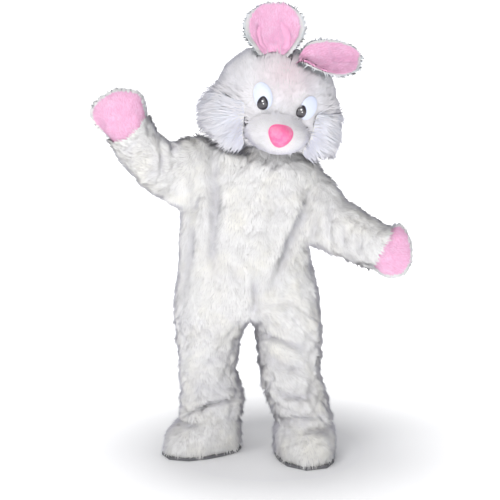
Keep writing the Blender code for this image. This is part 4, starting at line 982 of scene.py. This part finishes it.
def face_middle(points, normals, face):
    """A face's middle and the way that it looks."""
    return Vector(points[face].mean(axis=0)), Vector(normals[face].mean(axis=0))


def uncovered(points, faces, covers, distance):
    """The faces whose middles are further than distance from the nodes that cover them."""
    tree = surface_tree(*covers)
    return [face for face in faces
            if tree.find_nearest(Vector(points[face].mean(axis=0)), distance)[0] is None]


def left_bare(points, normals, faces, cover):
    """The faces that what lies on them doesn't cover, the rim beside it included."""
    kept = []
    for face in faces:
        middle, out = face_middle(points, normals, face)
        nearest = surface_tree(cover).find_nearest(middle, LINING_REACH)[0]
        if nearest is None or (nearest - middle).normalized().dot(out) < LINING_FACING:
            kept.append(face)
    return kept


def faces_out(points, normals, face, backing):
    """True where a face of a lining looks away from what it lies on."""
    middle, out = face_middle(points, normals, face)
    return (middle - surface_tree(backing).find_nearest(middle)[0]).dot(out) > 0.0


def near_nodes(points, names):
    """How far each point is from the surfaces of some CAD nodes, up to NEAR_LIMIT."""
    tree = surface_tree(*names)
    gaps = [tree.find_nearest(point, NEAR_LIMIT)[3] for point in points.tolist()]
    return np.array([NEAR_LIMIT if gap is None else gap for gap in gaps])


def fading(distance, reach):
    """1 where a distance is nothing, falling to 0 at a reach."""
    return np.clip(1.0 - distance / reach, 0.0, 1.0)


def nearness(points, names, reach):
    """1 on the surfaces of some CAD nodes, falling to 0 at a reach from them."""
    return fading(near_nodes(points, names), reach)


def away(points, source):
    """Unit directions from a source to each point."""
    return unit(points - np.array(source))


def downward(points):
    """Straight down at each point."""
    return np.tile((0.0, 0.0, -1.0), (len(points), 1))


def suit_flow(points):
    """Down the body, and along each arm from the shoulder on."""
    flow, share = np.zeros_like(points), np.zeros(len(points))
    nearest = np.full(len(points), 1e9)
    for line in ARM_LINES:
        for index, (start, end) in enumerate(zip(line, line[1:])):
            start, end = np.array(start), np.array(end)
            distance, along = near_segment(points, start, end)
            closer = distance < nearest
            flow[closer] = (end - start) / np.linalg.norm(end - start)
            nearest[closer] = distance[closer]
            share[closer] = 1.0 if index else np.clip(along[closer] / ARM_FLOW_START, 0.0, 1.0)
    down = downward(points)
    return down * (1.0 - share)[:, None] + (flow + ARM_HANG * down) * share[:, None]


def pad_form(name, levels, inset):
    """A closed CAD solid smoothed and drawn in; returns its data, points, normals and faces."""
    data = subdivided(merged_copy(name), levels)
    points, normals = points_of(data)
    points = points - normals * inset
    return data, points, reshaped(data, points), faces_of(data)


def new_pad(name, data, finish, title="pad"):
    """A stuffed piece that stands for a CAD node."""
    pad = new_object(f"{title}_{name}", data, finish)
    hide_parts(name)
    return pad


Trim = namedtuple("Trim", "partner kind finish lay")


def make_plush(name, skins, finish, backing, kind, lay, seed, covers, margin=COVERED,
               pile=None, stand=None, trim=None):
    """One cut of plush: its thin cloth shell, and fur on a finer skin; trim gives its rim another fur."""
    coarse, fine = skins
    points, normals, _, faces = coarse.patch(name)
    cloth = cloth_shell(f"cloth_{name}", points, normals, faces, backing)
    points, normals, folds, faces = fine.patch(name)
    faces = uncovered(points, faces, covers, margin)
    rim = []
    if trim:
        distance = near_nodes(points, [trim.partner])
        rim = [face for face in faces if distance[face].mean() < PALM_RIM]
        faces = [face for face in faces if distance[face].mean() >= PALM_RIM]
    furs = [grow_fur(f"fur_{name}", points, normals, faces, lay(points), kind, finish, seed, folds=folds,
                     pile=pile(points) if pile else 1.0, stand=stand(points) if stand else 0.0)]
    if rim:
        furs.append(grow_fur(f"trim_{name}", points, normals, rim, trim.lay(points), trim.kind, trim.finish,
                             seed + 100, folds=folds))
    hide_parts(name)
    share_slot(name, cloth, *furs)
    width, length, share = CUTS[name]


# ---- Panel ---------------------------------------------------------------------------------
def colour_property(name, description, default):
    """A colour for the panel."""
    return bpy.props.FloatVectorProperty(name=name, description=description, subtype="COLOR", size=4,
                                         min=0.0, max=1.0, default=(*default, 1.0))


def length_property(name, description, default):
    """A length in metres for the panel."""
    return bpy.props.FloatProperty(name=name, description=description, default=default, min=0.0,
                                   unit="LENGTH", precision=4)


class RabbitColours(bpy.types.PropertyGroup):
    """The costume's colours."""

    suit_root: colour_property("Suit root", "Suit pile at its root", (0.84, 0.83, 0.83))
    suit_tip: colour_property("Suit tip", "Suit pile at its tip", (0.93, 0.93, 0.92))
    suit_patch: colour_property("Suit patch", "Yellowish patches of the suit", (0.96, 0.94, 0.86))
    # painted shade: the colour of pile in creases and along the sides
    fold: colour_property("Fold", "Pile in folds and along the sides", (0.46, 0.45, 0.58))
    # the head's pile is darker than the suit's: painted shade against the stronger light on the head
    head_root: colour_property("Head root", "Head pile at its root", (0.80, 0.79, 0.82))
    head_tip: colour_property("Head tip", "Head pile at its tip", (0.87, 0.85, 0.875))
    head_patch: colour_property("Head patch", "Cooler patches of the head", (0.82, 0.82, 0.87))
    ruff_root: colour_property("Ruff root", "Ruff locks at their root", (0.80, 0.82, 0.90))
    ruff_patch: colour_property("Ruff patch", "Grey streaks of the ruff", (0.80, 0.83, 0.91))
    pink_root: colour_property("Pink root", "Pink pile at its root", (0.93, 0.47, 0.70))
    pink_tip: colour_property("Pink tip", "Pink pile at its tip", (0.985, 0.63, 0.855))
    pink_patch: colour_property("Pink patch", "Paler patches of the pink pile", (0.985, 0.72, 0.90))
    # painted shade of pink pile in lining creases and along the sides
    pink_fold: colour_property("Pink fold", "Pink pile in a fold", (0.52, 0.17, 0.36))
    # the ears' pile is greyer than the suit's: painted shade of their rims
    ear_root: colour_property("Ear root", "Ear pile at its root", (0.66, 0.69, 0.72))
    ear_tip: colour_property("Ear tip", "Ear pile at its tip", (0.78, 0.82, 0.83))
    # painted shade of head pile turned to the side
    head_fold: colour_property("Head fold", "Head pile turned to the side", (0.34, 0.34, 0.44))
    # under the ears a painted pink reflection of them; round the nose a pinkish tint
    blush: colour_property("Blush", "Pinkish tint under the ears and round the nose", (0.95, 0.70, 0.76))
    nose: colour_property("Nose", "Nose pile", (0.98, 0.20, 0.42))
    nose_edge: colour_property("Nose edge", "Lighter rim of the nose", (0.99, 0.48, 0.66))
    eye_white: colour_property("Eye white", "Eye shells", (0.70, 0.75, 0.92))
    pupil: colour_property("Pupil", "Pupils", (0.030, 0.026, 0.034))
    highlight: colour_property("Highlight", "Dots on the pupils", (0.95, 0.95, 0.97))
    sole: colour_property("Sole", "Boot soles", (0.15, 0.15, 0.16))
    zip_tape: colour_property("Zip tape", "Zip tape", (0.80, 0.80, 0.78))
    zip_metal: colour_property("Zip metal", "Slider, tab and teeth", (0.40, 0.40, 0.42))
    floor: colour_property("Floor", "Studio floor", (0.95, 0.95, 0.96))


class RabbitSizes(bpy.types.PropertyGroup):
    """The costume's fur sizes."""

    suit_pile: length_property("Suit pile", "How far the suit's backing lies under its fur's surface", 0.0050)
    head_pile: length_property("Head pile", "How far the head's backing lies under its fur's surface", 0.0070)
    mitt_pile: length_property("Mitt pile", "How far a mitt's backing lies under its fur's surface", 0.0040)
    pad_pile: length_property("Pad pile", "How far a pad's face lies under its fur's surface", 0.0040)


# ---- Operators -----------------------------------------------------------------------------
class RABBIT_OT_suit(bpy.types.Operator):
    """Makes the suit's four panels and two sleeves in furry plush."""

    bl_idname = "rabbit.suit"
    bl_label = "Suit"

    def execute(self, context):
        skins = both_skins(SUIT, sizes().suit_pile, crease_depth)
        for seed, name in enumerate(SUIT, 1):
            side = name.rsplit("_", 1)[1]
            covers = [f"ruff_{side}", *HEAD] + ["tail"] * ("back" in name)
            make_plush(name, skins, "suit_fur", "cream_backing", "suit", suit_flow, seed, covers,
                       pile=suit_pile)
        return {"FINISHED"}


def suit_pile(points):
    """Longer pile round the neck and on the puffed shoulders, clipped at the zip's slider."""
    pile = 1.0 + NECK_LONGER * nearness(points, ("head_front", *RUFFS), NECK_REACH)
    for row in PUFFS:
        gap = np.linalg.norm(points - np.array(row.place), axis=1)
        pile = np.maximum(pile, 1.0 + PUFF_LONGER * np.clip(PUFF_WIDER - gap / row.reach, 0.0, 1.0))
    return pile * np.clip(near_nodes(points, ("zip_slider", "zip_tab")) / ZIP_REACH, ZIP_SHORTEST, 1.0)


class RABBIT_OT_mitts(bpy.types.Operator):
    """Makes both mitts: cream backs and pink palms."""

    bl_idname = "rabbit.mitts"
    bl_label = "Mitts"

    def execute(self, context):
        for seed, side in enumerate(SIDES, 11):
            back, palm, cover = f"mitt_back_{side}", f"mitt_palm_{side}", [f"sleeve_{side}"]
            skins = both_skins((back, palm), sizes().mitt_pile, unevenness=0.003, bump_scale=26.0, seed=seed)
            rim = Trim(back, "mitt", "suit_fur", lambda points: away(points, middle_of(palm)))
            make_plush(back, skins, "suit_fur", "cream_backing", "mitt", suit_flow, seed, cover)
            make_plush(palm, skins, "pink_fur", "pink_backing", "palm", suit_flow, seed + 2, cover,
                       trim=rim)
        return {"FINISHED"}


class RABBIT_OT_boots(bpy.types.Operator):
    """Makes both boot uppers; the soles keep their solids with a rubber finish."""

    bl_idname = "rabbit.boots"
    bl_label = "Boots"

    def execute(self, context):
        for seed, side in enumerate(SIDES, 21):
            name, sole = f"boot_upper_{side}", f"boot_sole_{side}"
            skins = both_skins((name,), sizes().suit_pile, unevenness=0.005, bump_scale=18.0, seed=seed)
            hems = [f"body_{face}_{side}" for face in ("front", "back")]
            make_plush(name, skins, "suit_fur", "cream_backing", "boot", downward, seed, hems,
                       pile=boot_pile, stand=boot_stand)
            refinish(sole, "sole_rubber_worn")
        return {"FINISHED"}


def boot_pile(points):
    """Longer pile round the bottom of the boots."""
    return 1.0 + BOOT_LONGER * fading(points[:, 2] - FLOOR, BOOT_REACH)


def boot_stand(points):
    """The pile stands out near the floor, so that it falls past the edge of the soles."""
    return BOOT_STAND * fading(points[:, 2] - FLOOR, BOOT_REACH)


class RABBIT_OT_head(bpy.types.Operator):
    """Makes the head's two furry halves."""

    bl_idname = "rabbit.head"
    bl_label = "Head"

    def execute(self, context):
        skins = both_skins(HEAD, sizes().head_pile, unevenness=0.005, bump_scale=15.0, seed=31.0)
        covers = [*RUFFS, "muzzle", *EAR_BACKS, *(f"{part}_{side}" for part in ("eye_white", "pupil")
                                                  for side in SIDES)]
        for seed, name in enumerate(HEAD, 31):
            make_plush(name, skins, "head_fur", "cream_backing", "head", face_flow, seed, covers,
                       margin=HEAD_COVERED, pile=face_pile,
                       stand=face_stand)
        return {"FINISHED"}


def face_flow(points):
    """Away from the nose on the face, down at the back of the head, and away from the eyes."""
    front = np.clip((FACE_START - points[:, 1]) / FACE_DEPTH, 0.0, 1.0)[:, None]
    flow = away(points, NOSE) * front + downward(points) * (1.0 - front)
    for side in SIDES:
        eye = middle_of(f"eye_white_{side}")
        gap = np.linalg.norm(points - eye, axis=1)
        near = np.clip((EYE_FLOW - gap) / EYE_FLOW_FADE, 0.0, 1.0)[:, None]
        flow = flow * (1.0 - near) + away(points, eye) * near
    return flow


def face_pile(points):
    """Longer pile before the ruffs, at the ears' roots and under the chin, and shorter round the eyes."""
    pile = np.ones(len(points))
    height = points[:, 2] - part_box("head_front")[0][2]
    for longer, near in ((CHEEK_LONGER, nearness(points, RUFFS, CHEEK_REACH)),
                         (EAR_LONGER, nearness(points, EAR_BACKS, EAR_REACH)),
                         (CHIN_LONGER, fading(height, CHIN_REACH))):
        pile = np.maximum(pile, 1.0 + longer * near)
    for side in SIDES:
        gap = np.linalg.norm(points - middle_of(f"eye_white_{side}"), axis=1)
        pile = np.minimum(pile, np.clip(EYE_CLIPPED + (gap - EYE_EDGE) / EYE_FADE, EYE_CLIPPED, EYE_LONGEST))
    return pile


def face_stand(points):
    """Pile stands up in front of the ruffs and the ears, so that it falls over their edges."""
    return np.maximum(CHEEK_STAND * nearness(points, RUFFS, CHEEK_STAND_REACH),
                      nearness(points, EAR_BACKS, EAR_STAND_REACH))


class RABBIT_OT_ruffs(bpy.types.Operator):
    """Makes the cheek ruffs: a pad under long locks."""

    bl_idname = "rabbit.ruffs"
    bl_label = "Ruffs"

    def execute(self, context):
        for seed, side in enumerate(SIDES, 41):
            name = f"ruff_{side}"
            data, points, _, faces = pad_form(name, PAD_LEVELS, 0.0)
            slope = np.clip(near_nodes(points, ["muzzle"]) / RUFF_SLOPE, RUFF_LOW, 1.0)
            end = np.clip((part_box(name)[1][1] - points[:, 1]) / RUFF_END, RUFF_END_LOW, 1.0)
            slope = np.minimum(slope, end)
            base = np.array([surface_tree(*HEAD).find_nearest(Vector(point))[0] for point in points])
            reach = points - base
            points = base + reach * RUFF_CORE_SHARE * slope[:, None]
            normals = reshaped(data, points)
            core = new_pad(name, data, "cream_backing", title="core")
            far = np.linalg.norm(reach, axis=1)
            away_nose = away(points, NOSE)
            inward = np.clip(-np.sum(normals * away_nose, axis=1), 0.0, 1.0)[:, None]
            bare = [face for face in faces if far[face].mean() > RUFF_BASE and inward[face].mean() < RUFF_CAP]
            lay = away_nose + unit(reach) * (RUFF_OUT + RUFF_INWARD * inward) + np.array(RUFF_HANG)
            # painted shade: locks near the muzzle are greyer
            fur = grow_fur(f"locks_{name}", points, normals, bare, lay, "ruff", "ruff_fur", seed,
                           pile=RUFF_SHORTEST + (1.0 - RUFF_SHORTEST) * slope,
                           folds=nearness(points, ["muzzle"], RUFF_SHADED), **RUFF_LOCKS)
            share_slot(name, core, fur)
        return {"FINISHED"}


class RABBIT_OT_ears(bpy.types.Operator):
    """Makes both ears and their pink linings."""

    bl_idname = "rabbit.ears"
    bl_label = "Ears"

    def execute(self, context):
        for seed, side in enumerate(SIDES, 51):
            outer, lining, root = f"ear_back_{side}", f"ear_inner_{side}", EAR_ROOTS[side]
            data, points, normals, faces = pad_form(outer, PAD_LEVELS, sizes().pad_pile)
            ear = new_pad(outer, data, "cream_backing")
            lay = away(points, root) + RIM_OUT * away(points, middle_of(lining))
            rim = nearness(points, [lining], RIM_REACH)
            fur = grow_fur(f"fur_{outer}", points, normals, left_bare(points, normals, faces, lining), lay,
                           "ear", "ear_fur", seed, pile=1.0 + RIM_LONGER * rim, stand=RIM_STAND * rim)
            share_slot(outer, ear, fur)
            data, points, normals, faces = pad_form(lining, FUR_LEVELS, LINING_INSET)
            # how deep each lining is creased, and the painted shade of its pile there
            depth, folds = lining_folds(points)
            points = points - normals * depth[:, None]
            normals = reshaped(data, points)
            inner = new_pad(lining, data, "pink_backing")
            bare = [face for face in faces if faces_out(points, normals, face, outer)]
            pink = grow_fur(f"fur_{lining}", points, normals, bare, away(points, root), "palm", "pink_fur",
                            seed + 2, folds=folds)
            share_slot(lining, inner, pink)
        return {"FINISHED"}


def lining_folds(points):
    """How deep each lining is creased at each point, and how much painted shade its pile gets there."""
    depth, folds = np.zeros(len(points)), np.zeros(len(points))
    for row in LINING_FOLDS:
        distance, share = near_path(points, row.path)
        here = taper(share) * np.exp(-(distance / row.width) ** 2)
        depth += row.depth * here
        folds += row.dark * here
    return depth, np.clip(folds, 0.0, 1.0)


class RABBIT_OT_face(bpy.types.Operator):
    """Makes the muzzle, the nose and the eyes."""

    bl_idname = "rabbit.face"
    bl_label = "Face"

    def execute(self, context):
        data, points, normals, faces = pad_form("muzzle", PAD_LEVELS, sizes().pad_pile)
        muzzle = new_pad("muzzle", data, "cream_backing")
        rim = np.maximum(nearness(points, RUFFS, MUZZLE_REACH),
                         MUZZLE_EDGE_SHARE * nearness(points, ["head_front"], MUZZLE_EDGE))
        bare = uncovered(points, faces, ["nose", "head_front"], COVERED)
        fur = grow_fur("fur_muzzle", points, normals, bare, away(points, NOSE), "muzzle", "muzzle_fur", 61,
                       pile=1.0 + MUZZLE_LONGER * rim, stand=MUZZLE_STAND * rim)
        share_slot("muzzle", muzzle, fur)
        data, points, normals, faces = pad_form("nose", PAD_LEVELS, NOSE_INSET)
        nose = new_pad("nose", data, "nose_fur")
        pile = grow_fur("fur_nose", points, normals, uncovered(points, faces, ["muzzle"], NOSE_COVERED),
                        away(points, NOSE - (0, 0, NOSE_PARTING)), "nose", "nose_fur", 62)
        share_slot("nose", nose, pile)
        for side in SIDES:
            for part, finish in (("eye_white", "eye_shell"), ("pupil", "pupil_black"),
                                 ("highlight_big", "eye_dot"), ("highlight_small", "eye_dot")):
                name = f"{part}_{side}"
                shell = new_object(f"smooth_{name}", subdivided(merged_copy(name), 2), finish)
                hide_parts(name)
                share_slot(name, shell)
        return {"FINISHED"}


class RABBIT_OT_tail(bpy.types.Operator):
    """Makes the plush tail."""

    bl_idname = "rabbit.tail"
    bl_label = "Tail"

    def execute(self, context):
        data, points, normals, faces = pad_form("tail", PAD_LEVELS, sizes().pad_pile * TAIL_DEEPER)
        tail = new_pad("tail", data, "cream_backing")
        root = middle_of("tail") * (1, 0, 1) + (0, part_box("tail")[0][1], 0)
        fur = grow_fur("fur_tail", points, normals, faces, away(points, root), "tail", "head_fur", 71)
        share_slot("tail", tail, fur)
        return {"FINISHED"}


class RABBIT_OT_zip(bpy.types.Operator):
    """Finishes the zip's tape, slider and tab, and lays teeth on its chain."""

    bl_idname = "rabbit.zip"
    bl_label = "Zip"

    def execute(self, context):
        refinish("zip_tape", "tape_twill")
        refinish("zip_slider", "zip_brushed")
        refinish("zip_tab", "zip_brushed")
        middles, across = chain_crest()
        data = bpy.data.meshes.new("zip_teeth")
        data.from_pydata(middles.tolist(), [(index, index + 1) for index in range(len(middles) - 1)], [])
        layer = data.attributes.new("across", "FLOAT_VECTOR", "POINT")
        layer.data.foreach_set("vector", across.ravel())
        teeth = made_by("NODES", data, {"node_group": teeth_tree()}, {"Material": finish_of("zip_brushed")})
        share_slot("zip_slider", new_object("zip_teeth", teeth, "zip_brushed"))
        return {"FINISHED"}


def chain_crest():
    """The middle of the tape's raised chain at each section, and the way across it."""
    corners = {tuple(np.round(vertex.co, 6)) for vertex in NODES["zip_tape"].data.vertices}
    corners = np.array(sorted(corners, key=lambda corner: corner[2]))
    middles, across = [], []
    for section in corners.reshape(-1, TAPE_CORNERS, 3):
        crest = section[np.argsort(section[:, 1])[-2:]]
        crest = crest[np.argsort(crest[:, 0])]
        middles.append(crest.mean(axis=0))
        across.append((crest[1] - crest[0]) / np.linalg.norm(crest[1] - crest[0]))
    return np.array(middles), np.array(across)


def teeth_tree():
    """Metal teeth along a line, laid across it, every second one to the other side."""
    growth = Growth("teeth", TEETH)
    given = growth.given
    line = growth.node("GeometryNodeMeshToCurve", None, {"Mesh": given["Geometry"]})[0]
    line = growth.node("GeometryNodeResampleCurve", {"mode": "LENGTH"},
                       {"Curve": line, "Length": given["Pitch"]})[0]
    across = growth.carried("across")
    turn = growth.turned("X", across, "Z", growth.node("GeometryNodeInputTangent")[0])
    odd = growth.maths("MODULO", growth.node("GeometryNodeInputIndex")[0], 2.0)
    aside = growth.scaled(across, (odd - 0.5) * given["Shift"])
    line = growth.node("GeometryNodeSetPosition", None, {"Geometry": line, "Offset": aside})[0]
    size = growth.combined(given["Width"], given["Depth"], given["Height"])
    tooth = growth.node("GeometryNodeMeshCube", None, {"Size": size})[0]
    return growth.close(growth.node("GeometryNodeInstanceOnPoints", None,
                                    {"Points": line, "Instance": tooth, "Rotation": turn})[0])


class RABBIT_OT_stage(bpy.types.Operator):
    """Sets the floor, the lights and the camera."""

    bl_idname = "rabbit.stage"
    bl_label = "Stage"

    def execute(self, context):
        scene = bpy.context.scene
        scene.view_settings.view_transform = "Standard"
        low = FLOOR - FLOOR_GAP
        for name, half, near, high in (("floor", STUDIO_HALF, -STUDIO_HALF, low),
                                       ("wall", WALL_HALF, WALL_PLACE, WALL_TOP)):
            data = bpy.data.meshes.new(name)
            corners = [(-half, near, low), (half, near, low), (half, WALL_PLACE, high),
                       (-half, WALL_PLACE, high)]
            data.from_pydata(corners, [], [(0, 1, 2, 3)])
            data.materials.append(finish_of(f"{name}_paper"))
            linked(name, data)
        for light in LIGHTS:
            lamp = bpy.data.lights.new(light.name, "AREA")
            lamp.size, lamp.energy, lamp.color = light.size, light.power, light.colour
            holder = linked(light.name, lamp)
            holder.location = light.place
            way = Vector(light.aim) - Vector(light.place)
            holder.rotation_euler = way.to_track_quat("-Z", "Y").to_euler()
        scene.world = bpy.data.worlds.new("studio")
        scene.world.use_nodes = True
        sky = scene.world.node_tree.nodes["Background"]
        sky.inputs["Color"].default_value = SKY_COLOUR
        sky.inputs["Strength"].default_value = SKY_STRENGTH
        camera = linked("camera", bpy.data.cameras.new("camera"))
        camera.data.lens, camera.data.sensor_width = CAMERA_LENS, CAMERA_SENSOR
        camera.location = CAMERA_PLACE
        camera.rotation_euler = (math.radians(90.0 - CAMERA_PITCH), 0.0, 0.0)
        scene.camera = camera
        return {"FINISHED"}


OPERATORS = (RABBIT_OT_suit, RABBIT_OT_mitts, RABBIT_OT_boots, RABBIT_OT_head, RABBIT_OT_ruffs,
             RABBIT_OT_ears, RABBIT_OT_face, RABBIT_OT_tail, RABBIT_OT_zip, RABBIT_OT_stage)


class RABBIT_PT_panel(bpy.types.Panel):
    """Lists the costume's colours, sizes and operators."""

    bl_idname = "RABBIT_PT_panel"
    bl_label = "Rabbit Costume"
    bl_space_type = "VIEW_3D"
    bl_region_type = "UI"
    bl_category = "Rabbit Costume"

    def draw(self, context):
        for group in (context.scene.rabbit_colours, context.scene.rabbit_sizes):
            for name in group.bl_rna.properties.keys():
                if name not in ("rna_type", "name"):
                    self.layout.prop(group, name)
        for operator in OPERATORS:
            self.layout.operator(operator.bl_idname)


CLASSES = (RabbitColours, RabbitSizes, *OPERATORS, RABBIT_PT_panel)


def register():
    """Adds the classes and the scene's settings."""
    for item in CLASSES:
        bpy.utils.register_class(item)
    bpy.types.Scene.rabbit_colours = bpy.props.PointerProperty(type=RabbitColours)
    bpy.types.Scene.rabbit_sizes = bpy.props.PointerProperty(type=RabbitSizes)


def unregister():
    """Removes them again."""
    del bpy.types.Scene.rabbit_colours
    del bpy.types.Scene.rabbit_sizes
    for item in reversed(CLASSES):
        bpy.utils.unregister_class(item)


def main():
    """Registers the classes and runs the operators in order."""
    register()
    for operator in OPERATORS:
        group, name = operator.bl_idname.split(".")
        getattr(getattr(bpy.ops, group), name)()


if __name__ == "__main__":
    main()
